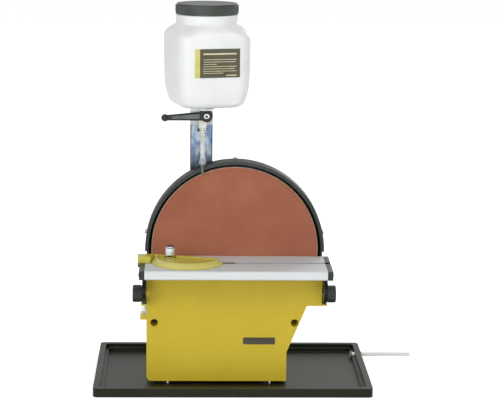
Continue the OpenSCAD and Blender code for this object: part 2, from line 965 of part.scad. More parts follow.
// Sector below the table's end, from behind the axis to as far forward as the tilt needs
module quadrant() {
    far = trunnion_r / cos(trunnion_sweep_angle / 2) / cos(trunnion_sweep_angle / 2);
    intersection() {
        translate([tilt_y, tilt_z]) circle(trunnion_r);
        polygon([
            [tilt_y, tilt_z],
            arm_point(far, -trunnion_back_angle),
            arm_point(far, trunnion_sweep_angle / 2),
            arm_point(far, trunnion_sweep_angle)
        ]);
        translate([tilt_y - 2 * trunnion_r, tilt_z - 2 * trunnion_r])
            square([3 * trunnion_r, 2 * trunnion_r - table_t]);
    }
}

// Slot about the tilt axis, from a pin at rest to the same pin at full tilt
module arc_slot(arm, lead, r) {
    first = lead - slot_end_angle;
    last = lead + tilt_angle + slot_end_angle;
    translate([tilt_y, tilt_z]) rotate(-90 - last) difference() {
        intersection() {
            circle(arm + r);
            polygon([
                [0, 0],
                [2 * arm, 0],
                [2 * arm * cos((last - first) / 2), 2 * arm * sin((last - first) / 2)],
                [2 * arm * cos(last - first), 2 * arm * sin(last - first)]
            ]);
        }
        circle(arm - r);
    }
    for (a = [first, last]) translate(arm_point(arm, a)) circle(r);
}

module left_trunnion() { trunnion(-1); }
module right_trunnion() { trunnion(1); }

module guide_pins() {
    p = arm_point(pin_arm, pin_lead_angle);
    color(steel) for (s = [-1, 1]) on_side(s) {
        rod_x(p[0], p[1], body_half - pin_l, trunnion_out + clear, pin_r);
        rod_x(p[0], p[1], trunnion_out + clear, trunnion_out + clear + pin_head_t, pin_head_r);
    }
}

// Clamping knob with a fluted grip, and the stud moulded into it
knob_x = trunnion_out + clear;

module knob(side) {
    p = arm_point(knob_arm, knob_lead_angle);
    color(black) on_side(side) difference() {
        union() {
            rod_x(p[0], p[1], knob_x, knob_x + knob_l, knob_r - flute_r);
            rod_x(p[0], p[1], knob_x + knob_skirt, knob_x + knob_l - flute_r, knob_r);
        }
        for (k = [0 : knob_flutes - 1])
            rod_x(p[0] + knob_r * cos(k * 360 / knob_flutes), p[1] + knob_r * sin(k * 360 / knob_flutes),
                knob_x + knob_skirt, knob_x + knob_l + over, flute_r);
        rod_x(p[0], p[1], knob_x - over, knob_x + knob_l / 2, stud_r);
    }
}

module knob_stud(side) {
    p = arm_point(knob_arm, knob_lead_angle);
    color(steel) on_side(side)
        rod_x(p[0], p[1], body_half - stud_l + trunnion_t + over, knob_x + knob_l / 2, stud_r);
}

module left_knob() { knob(-1); }
module right_knob() { knob(1); }
module left_knob_stud() { knob_stud(-1); }
module right_knob_stud() { knob_stud(1); }

// Mitre gauge: a bar in the groove, a base on the bar, and a half disc with a fence that swings
// on the stud of a thumb screw
bar_z = table_z - groove_depth + clear / 2;
bar_top = bar_z + bar_t;

module guide_bar() {
    color(steel) machine() difference() {
        block([gauge_x - bar_left, gauge_y - bar_w / 2, bar_z],
            [gauge_x + bar_right, gauge_y + bar_w / 2, bar_top]);
        rod_z(gauge_x, gauge_y, bar_z - over, bar_top + over, stud_r + running);
    }
}

// Base that carries the pointer's edge, hollowed round the path of the half disc
module gauge_base() {
    color(yellow) machine() translate([gauge_x, gauge_y, 0]) difference() {
        union() {
            block([-base_left, -base_front, gauge_foot], [0, base_back, gauge_top]);
            block([-base_left, -base_front, bar_top], [0, bar_w / 2, gauge_foot]);
        }
        rod_z(0, 0, bar_top - over, gauge_top + over, head_cut_r + base_gap);
    }
}

module gauge_head() {
    flat_r = gauge_r - bevel;
    body_h = gauge_top - gauge_foot - step_h;
    color(yellow) machine() translate([gauge_x, gauge_y, gauge_foot]) rotate(-gauge_angle) difference() {
        union() {
            translate([arc_shift, fence_back, 0]) rotate(180) rotate_extrude(angle = 180)
                polygon([[0, 0], [gauge_r, 0], [gauge_r, step_h], [flat_r, body_h], [0, body_h]]);
            block([-fence_left, fence_back - fence_t, 0],
                [arc_shift + flat_r, fence_back, gauge_top - gauge_foot]);
            rod_z(0, 0, 0, gauge_top - gauge_foot, thumb_r);
        }
        rod_z(0, 0, -over, gauge_top - gauge_foot + over, stud_r + clear);
        difference() {
            block([-gauge_r, -gauge_r, -over], [-head_cut_x, gauge_r, gauge_h + over]);
            rod_z(0, 0, -2 * over, gauge_h + 2 * over, head_cut_r);
        }
    }
}

module gauge_screw() {
    foot = gauge_top + clear;
    grip = foot + thumb_neck_h;
    color(steel) machine() translate([gauge_x, gauge_y, 0]) difference() {
        union() {
            rod_z(0, 0, foot, grip, thumb_neck_r);
            rod_z(0, 0, grip, grip + thumb_h, thumb_r);
        }
        rod_z(0, 0, foot - over, grip + thumb_h / 2, stud_r);
        for (k = [0 : thumb_knurls - 1])
            rod_z(thumb_r * cos(k * 360 / thumb_knurls), thumb_r * sin(k * 360 / thumb_knurls),
                grip - over, grip + thumb_h - 2 * thumb_groove_h, thumb_knurl_r);
        translate([0, 0, grip + thumb_h - 2 * thumb_groove_h]) difference() {
            cylinder(r = thumb_r + over, h = thumb_groove_h);
            cylinder(r = thumb_neck_r, h = thumb_groove_h);
        }
    }
}

// Stud of the thumb screw, through the half disc and into the bar
module gauge_stud() {
    grip = gauge_top + clear + thumb_neck_h;
    color(steel) machine() rod_z(gauge_x, gauge_y, bar_z, grip + thumb_h / 2, stud_r);
}

// Channel post behind the hood, bolted to the back of the disc chamber
module support_post() {
    color(zinc) difference() {
        block([post_x - post_w / 2, back_y, post_foot],
            [post_x + post_w / 2, back_y + post_flange, post_top]);
        block([post_x - post_w / 2 + post_t, back_y + post_t, post_foot - over],
            [post_x + post_w / 2 - post_t, back_y + post_flange + over, post_top + over]);
        for (z = post_bolt_zs) rod_y(post_x, z, back_y - over, back_y + post_t + over, post_bolt_r);
        bracket_screw_holes();
    }
}

module post_bolts() {
    color(steel) for (z = post_bolt_zs) {
        rod_y(post_x, z, back_wall_y, back_y + post_t, post_bolt_r);
        rod_y(post_x, z, back_y + post_t, back_y + post_t + post_bolt_head_t, post_bolt_head_r);
    }
}

// Strip bent forward under the container
bracket_front = back_y - bracket_t;
bracket_screw_z = bracket_foot + bracket_screw_drop;

module bracket_screw_holes() {
    for (s = [-1, 1])
        rod_y(post_x + s * bracket_screw_spread, bracket_screw_z, bracket_front - over,
            back_y + post_t + over, bracket_screw_r);
}

module container_bracket() {
    color(steel) difference() {
        union() {
            block([post_x - post_w / 2, bracket_front, bracket_foot],
                [post_x + post_w / 2, back_y, bottle_z]);
            block([post_x - post_w / 2, bracket_front - bracket_reach, bottle_z - bracket_t],
                [post_x + post_w / 2, back_y, bottle_z]);
        }
        bracket_screw_holes();
        rod_z(rig_x, tap_y, bottle_z - bracket_t - over, bottle_z + over, tap_thread_r);
    }
}

module bracket_screws() {
    color(steel) for (s = [-1, 1]) {
        x = post_x + s * bracket_screw_spread;
        rod_y(x, bracket_screw_z, bracket_front, back_y + post_t, bracket_screw_r);
        rod_y(x, bracket_screw_z, bracket_front - bracket_screw_head_t, bracket_front,
            bracket_screw_head_r);
    }
}

// Blow-moulded square container: round foot, steep sides, short shoulder and a wide neck
module bottle_form(i) {
    half = bottle_w / 2;
    foot = half - bottle_corner;
    edge = half - bottle_edge;
    hull($fn = hull_fn) {
        for (sx = [-1, 1], sy = [-1, 1]) {
            translate([sx * foot, sy * foot, bottle_corner]) sphere(bottle_corner - i, $fn = hull_fn);
            translate([sx * edge, sy * edge, bottle_corner])
                cylinder(r = bottle_edge - i, h = bottle_h - shoulder_drop - bottle_corner, $fn = hull_fn);
        }
        translate([0, 0, bottle_side_h])
            cylinder(r = mouth_r - i, h = bottle_h - bottle_side_h, $fn = hull_fn);
    }
}

module at_bottle() {
    translate([bottle_x, bottle_y, bottle_z]) rotate(bottle_turn) children();
}

module container() {
    color(milk) difference() {
        at_bottle() union() {
            bottle_form(0);
            rod_z(0, 0, bottle_side_h, bottle_h + neck_h, mouth_r);
        }
        at_bottle() {
            bottle_form(bottle_wall);
            rod_z(0, 0, bottle_side_h, bottle_h + neck_h + over, mouth_r - bottle_wall);
        }
        rod_z(rig_x, tap_y, bottle_z - over, bottle_z + 2 * bottle_wall, tap_thread_r);
    }
}

module container_cap() {
    lid_r = lid_d / 2;
    color(black) translate([bottle_x, bottle_y, lid_foot]) difference() {
        union() {
            rod_z(0, 0, 0, lid_h - lid_wall, lid_r - lid_rib_r);
            rod_z(0, 0, 0, lid_h, lid_r - lid_wall);
            for (k = [0 : lid_ribs - 1])
                rotate(k * 360 / lid_ribs)
                    rod_z(lid_r - lid_rib_r, 0, lid_wall, lid_h - lid_wall, lid_rib_r);
        }
        rod_z(0, 0, -over, neck_top - lid_foot + lid_gap, mouth_r + lid_gap);
    }
}

// Tap under the container: its thread, a valve across it and an outlet with a barb
tap_top = bottle_z - bracket_t;
valve_z = tap_top + bracket_t - valve_drop;
valve_x = rig_x + valve_shift;

module tap_body() {
    color(natural) difference() {
        union() {
            rod_z(rig_x, tap_y, tap_top - tap_flange_t, tap_top, tap_flange_r);
            rod_z(rig_x, tap_y, tap_top, bottle_z + bottle_wall + tap_nut_t, tap_thread_r);
            rod_z(rig_x, tap_y, valve_z, tap_top, tap_stub_r);
            rod_y(valve_x, valve_z, tap_y - valve_front, tap_y + valve_back, valve_r);
            block([rig_x - outlet_w / 2, tap_y - outlet_d / 2, bottle_z - outlet_foot],
                [rig_x + outlet_w / 2, tap_y + outlet_d / 2, valve_z]);
            rod_z(rig_x, tap_y, bottle_z - barb_foot, valve_z, barb_r);
        }
        rod_z(rig_x, tap_y, bottle_z - barb_foot - over, bottle_z + bottle_wall + tap_nut_t + over, tap_bore);
        rod_y(valve_x, valve_z, tap_y - valve_front - over, tap_y - valve_front + lever_screw_l - hub_l,
            lever_screw_r + running);
    }
}

module tap_nut() {
    color(natural) difference() {
        translate([rig_x, tap_y, bottle_z + bottle_wall + clear])
            cylinder(r = tap_nut_r, h = tap_nut_t, $fn = nut_sides);
        rod_z(rig_x, tap_y, bottle_z, bottle_z + bottle_wall + tap_nut_t + 2 * over, tap_thread_r);
    }
}

// Tapered lever with a ball on its end
hub_back = tap_y - valve_front - clear;
hub_front = hub_back - hub_l;

module tap_lever() {
    lever_y = (hub_back + hub_front) / 2;
    tilt = atan(lever_drop / lever_l);
    color(black) difference() {
        union() {
            rod_y(valve_x, valve_z, hub_front, hub_back, hub_r);
            translate([valve_x, lever_y, valve_z]) rotate([0, -90 - tilt, 0])
                cylinder(r1 = lever_r0, r2 = lever_r1, h = lever_l);
            translate([valve_x - lever_l, lever_y, valve_z - lever_drop]) sphere(lever_ball);
        }
        rod_y(valve_x, valve_z, hub_front - over, hub_front + lever_screw_head_t, lever_screw_head_r);
        rod_y(valve_x, valve_z, hub_front, hub_back + over, lever_screw_r);
    }
}

module lever_screw() {
    color(steel) {
        rod_y(valve_x, valve_z, hub_front, hub_front + lever_screw_head_t, lever_screw_head_r);
        rod_y(valve_x, valve_z, hub_front + lever_screw_head_t, hub_front + lever_screw_l, lever_screw_r);
    }
}

module hose_clip() {
    z0 = bottle_z - clip_z;
    color(dark) difference() {
        union() {
            rod_z(rig_x, tap_y, z0, z0 + clip_h, clip_r);
            block([rig_x - clip_r - clip_ear_l, tap_y - clip_ear_w / 2, z0],
                [rig_x, tap_y + clip_ear_w / 2, z0 + clip_h]);
        }
        rod_z(rig_x, tap_y, z0 - over, z0 + clip_h + over, hose_r);
    }
}

module drip_hose() {
    color(milk) difference() {
        rod_z(rig_x, tap_y, bottle_z - hose_foot, bottle_z - hose_top, hose_r);
        rod_z(rig_x, tap_y, bottle_z - hose_foot - over, bottle_z - hose_top + over, barb_r);
    }
}

module drip_nozzle() {
    cone_top = bottle_z - hose_foot;
    color(steel) difference() {
        union() {
            rod_z(rig_x, tap_y, cone_top, cone_top + nozzle_cone_h, barb_r);
            translate([rig_x, tap_y, cone_top - nozzle_cone_h])
                cylinder(r1 = nozzle_r, r2 = nozzle_cone_r, h = nozzle_cone_h);
            rod_z(rig_x, tap_y, bottle_z - nozzle_foot, cone_top - nozzle_cone_h, nozzle_r);
        }
        rod_z(rig_x, tap_y, bottle_z - nozzle_foot - over, cone_top + nozzle_cone_h + over, nozzle_r / 2);
    }
}

// Rocker switch in the left wall, under a clear splash guard
module switch_body() {
    x0 = -body_half;
    color(black) machine() difference() {
        union() {
            block([x0, switch_y - switch_w / 2, switch_z - switch_h / 2],
                [x0 + switch_depth, switch_y + switch_w / 2, switch_z + switch_h / 2]);
            block([x0 - switch_bezel_t, switch_y - switch_w / 2 - switch_bezel, switch_z - switch_h / 2],
                [x0, switch_y + switch_w / 2 + switch_bezel, switch_z + switch_h / 2]);
        }
        block([x0 - switch_bezel_t - over, switch_y - switch_w / 2 + rocker_margin - clear,
                switch_z - switch_h / 2 + rocker_margin - clear],
            [x0 + rocker_t, switch_y + switch_w / 2 - rocker_margin + clear,
                switch_z + switch_h / 2 - rocker_margin + clear]);
    }
}

module switch_rocker() {
    half = switch_h / 2 - rocker_margin - clear;
    x0 = -body_half - switch_bezel_t;
    color(rubber) machine() translate([x0, switch_y - switch_w / 2 + rocker_margin, switch_z])
        rotate([0, -rocker_angle, 0]) {
            block([-rocker_t / 2, 0, -half], [rocker_t / 2, switch_w - 2 * rocker_margin, half]);
            rod_y(0, 0, 0, switch_w - 2 * rocker_margin, rocker_barrel_r);
        }
}

module switch_guard() {
    guard_half = switch_w / 2 + switch_bezel + guard_t + clear;
    low = [-body_half - guard_reach, switch_y - guard_half, switch_z - switch_h / 2];
    high = [-body_half, switch_y + guard_half, switch_z + switch_h / 2 + guard_t];
    color(milk, 0.4) machine() difference() {
        block(low, high);
        block([low[0] + guard_t, low[1] + guard_t, low[2] - over],
            [high[0] + over, high[1] - guard_t, high[2] - guard_t]);
    }
}

// Spigot for a dust hose and gland for the mains lead, both in the pedestal's back
module dust_spigot() {
    color(black) machine() difference() {
        union() {
            rod_y(spigot_x, spigot_z, back_wall_y, pedestal_back + spigot_flange_t + spigot_l, spigot_r);
            rod_y(spigot_x, spigot_z, pedestal_back, pedestal_back + spigot_flange_t, spigot_flange_r);
        }
        rod_y(spigot_x, spigot_z, back_wall_y - over, pedestal_back + spigot_flange_t + spigot_l + over,
            spigot_bore);
    }
}

module cable_gland() {
    color(black) machine() difference() {
        union() {
            rod_y(gland_x, gland_z, pedestal_back - wall, pedestal_back + gland_l, gland_r);
            translate([gland_x, pedestal_back, gland_z]) rotate([-90, 0, 0])
                cylinder(r = gland_nut_r, h = gland_nut_t, $fn = nut_sides);
        }
        rod_y(gland_x, gland_z, pedestal_back - wall - over, pedestal_back + gland_l + over, gland_bore);
    }
}

// Speed control inside the pedestal, standing on four posts of the base plate
module control_board() {
    y0 = back_y + 2 * wall;
    x0 = -board_w / 2;
    color("#3f6f4a") machine() {
        block([x0, y0, board_z], [x0 + board_w, y0 + board_d, board_z + board_t]);
        block([x0 + board_part_d, y0 + board_part_d / 2, board_z + board_t],
            [x0 + 2 * board_part_d, y0 + 2 * board_part_d, board_z + board_t + board_part_h]);
        for (x = [x0 + board_post_r, x0 + board_w - board_post_r])
            for (y = [y0 + board_post_r, y0 + board_d - board_post_r])
                rod_z(x, y, body_z + base_t, board_z, board_post_r);
    }
}

drip_tray();
drain_fitting();
drain_nut();
drain_spout();
rubber_feet();
foot_screws();
base_plate();
rear_housing();
front_cover();
cover_screws();
disc_hood();
hood_screws();
motor_housing();
motor_end_shield();
fan_cover();
stator();
front_bearing();
rear_bearing();
motor_shaft();
rotor();
cooling_fan();
platen();
abrasive_disc();
table_plate();
left_trunnion();
right_trunnion();
table_screws();
guide_pins();
left_knob();
right_knob();
left_knob_stud();
right_knob_stud();
guide_bar();
gauge_base();
gauge_head();
gauge_screw();
gauge_stud();
support_post();
post_bolts();
container_bracket();
bracket_screws();
container();
container_cap();
tap_body();
tap_nut();
tap_lever();
lever_screw();
hose_clip();
drip_hose();
drip_nozzle();
switch_body();
switch_rocker();
switch_guard();
dust_spigot();
cable_gland();
control_board();
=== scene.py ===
import json
import math

import bmesh
import bpy
from mathutils import Matrix, Vector


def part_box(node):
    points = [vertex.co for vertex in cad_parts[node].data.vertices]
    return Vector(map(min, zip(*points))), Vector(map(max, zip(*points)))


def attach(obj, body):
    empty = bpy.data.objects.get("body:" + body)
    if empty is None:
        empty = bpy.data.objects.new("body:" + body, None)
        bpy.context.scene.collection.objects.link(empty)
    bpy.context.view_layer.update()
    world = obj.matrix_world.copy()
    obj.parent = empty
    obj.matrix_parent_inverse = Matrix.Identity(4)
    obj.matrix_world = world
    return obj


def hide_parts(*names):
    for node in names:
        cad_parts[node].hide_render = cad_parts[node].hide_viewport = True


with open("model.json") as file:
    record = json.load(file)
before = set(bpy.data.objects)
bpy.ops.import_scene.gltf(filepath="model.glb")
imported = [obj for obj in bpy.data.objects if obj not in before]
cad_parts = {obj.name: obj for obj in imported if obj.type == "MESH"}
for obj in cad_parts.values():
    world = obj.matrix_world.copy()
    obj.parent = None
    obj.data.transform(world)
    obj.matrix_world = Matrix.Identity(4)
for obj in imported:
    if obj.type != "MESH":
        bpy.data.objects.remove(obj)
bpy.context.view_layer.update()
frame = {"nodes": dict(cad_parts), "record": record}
nodes = frame["nodes"]
bodyOf = {name: body for body, names in frame["record"]["behaviour"]["bodies"].items() for name in names}
slotOf = {part["node"]: part["material_slot"] for part in frame["record"]["subparts"]}
mm = 0.001


# Camera, at the place and angle that fit the photograph
def makeCamera():
    shot = {
        "place": (-69.57, -2704.05, 791.02),
        "yaw": 2.0262,
        "pitch": 10.8244,
        "roll": 0.6596,
        "lens": 130.09,
        "sensor": 36.0,
        "far": 20000.0,
    }
    yaw, pitch, roll = (math.radians(shot[key]) for key in ("yaw", "pitch", "roll"))
    turn = Matrix.Rotation(-yaw, 4, "Z") @ Matrix.Rotation(math.pi / 2 - pitch, 4, "X") @ Matrix.Rotation(roll, 4, "Z")
    data = bpy.data.cameras.new("camera")
    data.lens = shot["lens"]
    data.sensor_width = shot["sensor"]
    data.clip_end = shot["far"] * mm
    camera = bpy.data.objects.new("camera", data)
    camera.matrix_world = Matrix.Translation(Vector(shot["place"]) * mm) @ turn
    bpy.context.scene.collection.objects.link(camera)
    bpy.context.scene.camera = camera


makeCamera()
print("camera made")


# Materials
def hexColor(text):
    channels = [int(text[i:i + 2], 16) / 255 for i in (1, 3, 5)]
    return tuple(c / 12.92 if c <= 0.04045 else ((c + 0.055) / 1.055) ** 2.4 for c in channels) + (1,)


def feed(tree, node, inputs):
    for key, value in inputs.items():
        if isinstance(value, bpy.types.NodeSocket):
            tree.links.new(value, node.inputs[key])
        else:
            node.inputs[key].default_value = value


def addNode(tree, kind, inputs=None, stops=(), **settings):
    node = tree.nodes.new(kind)
    for key, value in settings.items():
        setattr(node, key, value)
    feed(tree, node, inputs or {})
    for i, (place, color) in enumerate(stops):
        elements = node.color_ramp.elements
        element = elements[i] if i < len(elements) else elements.new(place)
        element.position = place
        element.color = hexColor(color)
    return node


def startMaterial(name, **sockets):
    material = bpy.data.materials.new(name)
    material.use_nodes = True
    tree = material.node_tree
    shader = tree.nodes["Principled BSDF"]
    feed(tree, shader, {key.replace("_", " "): value for key, value in sockets.items()})
    return material, tree, shader, addNode(tree, "ShaderNodeTexCoord").outputs["Object"]


# Injection-moulded plastic: soft broad change of tone, satin gloss, fine spark-eroded grain
def mouldedPlastic(name, dark, light, rough, grain=1.2, depth=0.04, patch=45.0, uneven=0.05, **sockets):
    material, tree, shader, place = startMaterial(name, **sockets)
    broad = addNode(tree, "ShaderNodeTexNoise", {"Vector": place, "Scale": 1 / (patch * mm), "Detail": 3.0})
    tone = addNode(tree, "ShaderNodeValToRGB", {"Fac": broad.outputs["Fac"]}, stops=[(0.35, dark), (0.65, light)])
    small = addNode(tree, "ShaderNodeTexNoise", {"Vector": place, "Scale": 4 / (patch * mm), "Detail": 4.0})
    gloss = addNode(tree, "ShaderNodeMapRange", {"Value": small.outputs["Fac"], "From Min": 0.3, "From Max": 0.7,
                                                 "To Min": rough - uneven, "To Max": rough + uneven})
    fine = addNode(tree, "ShaderNodeTexNoise", {"Vector": place, "Scale": 1 / (grain * mm), "Detail": 2.0})
    bump = addNode(tree, "ShaderNodeBump", {"Height": fine.outputs["Fac"], "Distance": depth * mm, "Strength": 0.5})
    feed(tree, shader, {"Base Color": tone.outputs["Color"], "Roughness": gloss.outputs["Result"],
                        "Normal": bump.outputs["Normal"]})
    return material


# Drawn, turned or plated metal: streaks along the way it was worked, with the gloss following them
def workedMetal(name, dark, light, rough, stretch=(1, 1, 1), streak=8.0, depth=0.01, metallic=1.0):
    wear = {"smoother": 0.05, "rougher": 0.07}
    material, tree, shader, place = startMaterial(name, Metallic=metallic)
    along = addNode(tree, "ShaderNodeMapping", {"Vector": place, "Scale": stretch})
    streaks = addNode(tree, "ShaderNodeTexNoise", {"Vector": along.outputs["Vector"], "Scale": 1 / (streak * mm),
                                                   "Detail": 4.0})
    tone = addNode(tree, "ShaderNodeValToRGB", {"Fac": streaks.outputs["Fac"]}, stops=[(0.3, dark), (0.7, light)])
    gloss = addNode(tree, "ShaderNodeMapRange", {"Value": streaks.outputs["Fac"], "From Min": 0.3, "From Max": 0.7,
                                                 "To Min": rough - wear["smoother"],
                                                 "To Max": rough + wear["rougher"]})
    bump = addNode(tree, "ShaderNodeBump", {"Height": streaks.outputs["Fac"], "Distance": depth * mm, "Strength": 0.4})
    feed(tree, shader, {"Base Color": tone.outputs["Color"], "Roughness": gloss.outputs["Result"],
                        "Normal": bump.outputs["Normal"]})
    return material


# Aluminium oxide paper: matt red-brown grit, drawn at 1.1 mm because P120 grains are too fine to show
def abrasivePaper(name, dark, light):
    grit = {"patch": 60.0, "grain": 1.1, "depth": 0.25, "share": 0.3}
    material, tree, shader, place = startMaterial(name, Roughness=0.9, Specular_IOR_Level=0.25)
    broad = addNode(tree, "ShaderNodeTexNoise", {"Vector": place, "Scale": 1 / (grit["patch"] * mm), "Detail": 3.0})
    tone = addNode(tree, "ShaderNodeValToRGB", {"Fac": broad.outputs["Fac"]}, stops=[(0.35, dark), (0.65, light)])
    grains = addNode(tree, "ShaderNodeTexNoise", {"Vector": place, "Scale": 1 / (grit["grain"] * mm), "Detail": 2.0})
    shade = addNode(tree, "ShaderNodeValToRGB", {"Fac": grains.outputs["Fac"]},
                    stops=[(0.36, "#8a6a5c"), (0.56, "#ffffff")])
    mixed = addNode(tree, "ShaderNodeMix", data_type="RGBA", blend_type="MULTIPLY")
    feed(tree, mixed, {0: grit["share"], 6: tone.outputs["Color"], 7: shade.outputs["Color"]})
    bump = addNode(tree, "ShaderNodeBump", {"Height": grains.outputs["Fac"], "Distance": grit["depth"] * mm,
                                            "Strength": 0.6})
    feed(tree, shader, {"Base Color": mixed.outputs[2], "Normal": bump.outputs["Normal"]})
    return material


# Blue-passivated zinc plate: clouded pale blue drawn out along the strip, in brighter and darker patches of crystal,
# with painted shade of the hood darkening it towards the foot between the heights given
def zincPlate(name, stops, rough, metallic=0.5, hoodShade=None):
    bloom = {"cloud": 9.0, "stretch": (1.3, 1.0, 0.5), "depth": 0.03, "rougher": 0.15}
    material, tree, shader, place = startMaterial(name, Metallic=metallic)
    along = addNode(tree, "ShaderNodeMapping", {"Vector": place, "Scale": bloom["stretch"]})
    clouds = addNode(tree, "ShaderNodeTexNoise", {"Vector": along.outputs["Vector"], "Scale": 1 / (bloom["cloud"] * mm),
                                                  "Detail": 4.0, "Distortion": 0.4})
    tone = addNode(tree, "ShaderNodeValToRGB", {"Fac": clouds.outputs["Fac"]}, stops=stops)
    color = tone.outputs["Color"]
    # Painted shade of the hood: darker towards the bottom, between the two heights given
    if hoodShade:
        height = addNode(tree, "ShaderNodeSeparateXYZ", {"Vector": place}).outputs["Z"]
        rise = addNode(tree, "ShaderNodeMapRange", {"Value": height, "From Min": hoodShade[0] * mm,
                                                    "From Max": hoodShade[1] * mm})
        shadeRamp = addNode(tree, "ShaderNodeValToRGB", {"Fac": rise.outputs["Result"]},
                       stops=[(0, "#7c8688"), (1, "#ffffff")])
        shadedColor = addNode(tree, "ShaderNodeMix", data_type="RGBA", blend_type="MULTIPLY")
        feed(tree, shadedColor, {0: 1.0, 6: color, 7: shadeRamp.outputs["Color"]})
        color = shadedColor.outputs[2]
    gloss = addNode(tree, "ShaderNodeMapRange", {"Value": clouds.outputs["Fac"], "To Min": rough,
                                                 "To Max": rough + bloom["rougher"]})
    bump = addNode(tree, "ShaderNodeBump", {"Height": clouds.outputs["Fac"], "Distance": bloom["depth"] * mm,
                                            "Strength": 0.4})
    feed(tree, shader, {"Base Color": color, "Roughness": gloss.outputs["Result"], "Normal": bump.outputs["Normal"]})
    return material


# Clear plastic: mostly see-through, a little cloudy, with slow waves from moulding
def clearPlastic(name, cloudy, clear, through):
    flow = {"wave": 7.0, "depth": 0.05}
    material, tree, shader, place = startMaterial(name, Roughness=0.12, IOR=1.46, Transmission_Weight=through)
    waves = addNode(tree, "ShaderNodeTexNoise", {"Vector": place, "Scale": 1 / (flow["wave"] * mm), "Detail": 2.0})
    tone = addNode(tree, "ShaderNodeValToRGB", {"Fac": waves.outputs["Fac"]}, stops=[(0.35, cloudy), (0.65, clear)])
    bump = addNode(tree, "ShaderNodeBump", {"Height": waves.outputs["Fac"], "Distance": flow["depth"] * mm,
                                            "Strength": 0.4})
    feed(tree, shader, {"Base Color": tone.outputs["Color"], "Normal": bump.outputs["Normal"]})
    return material


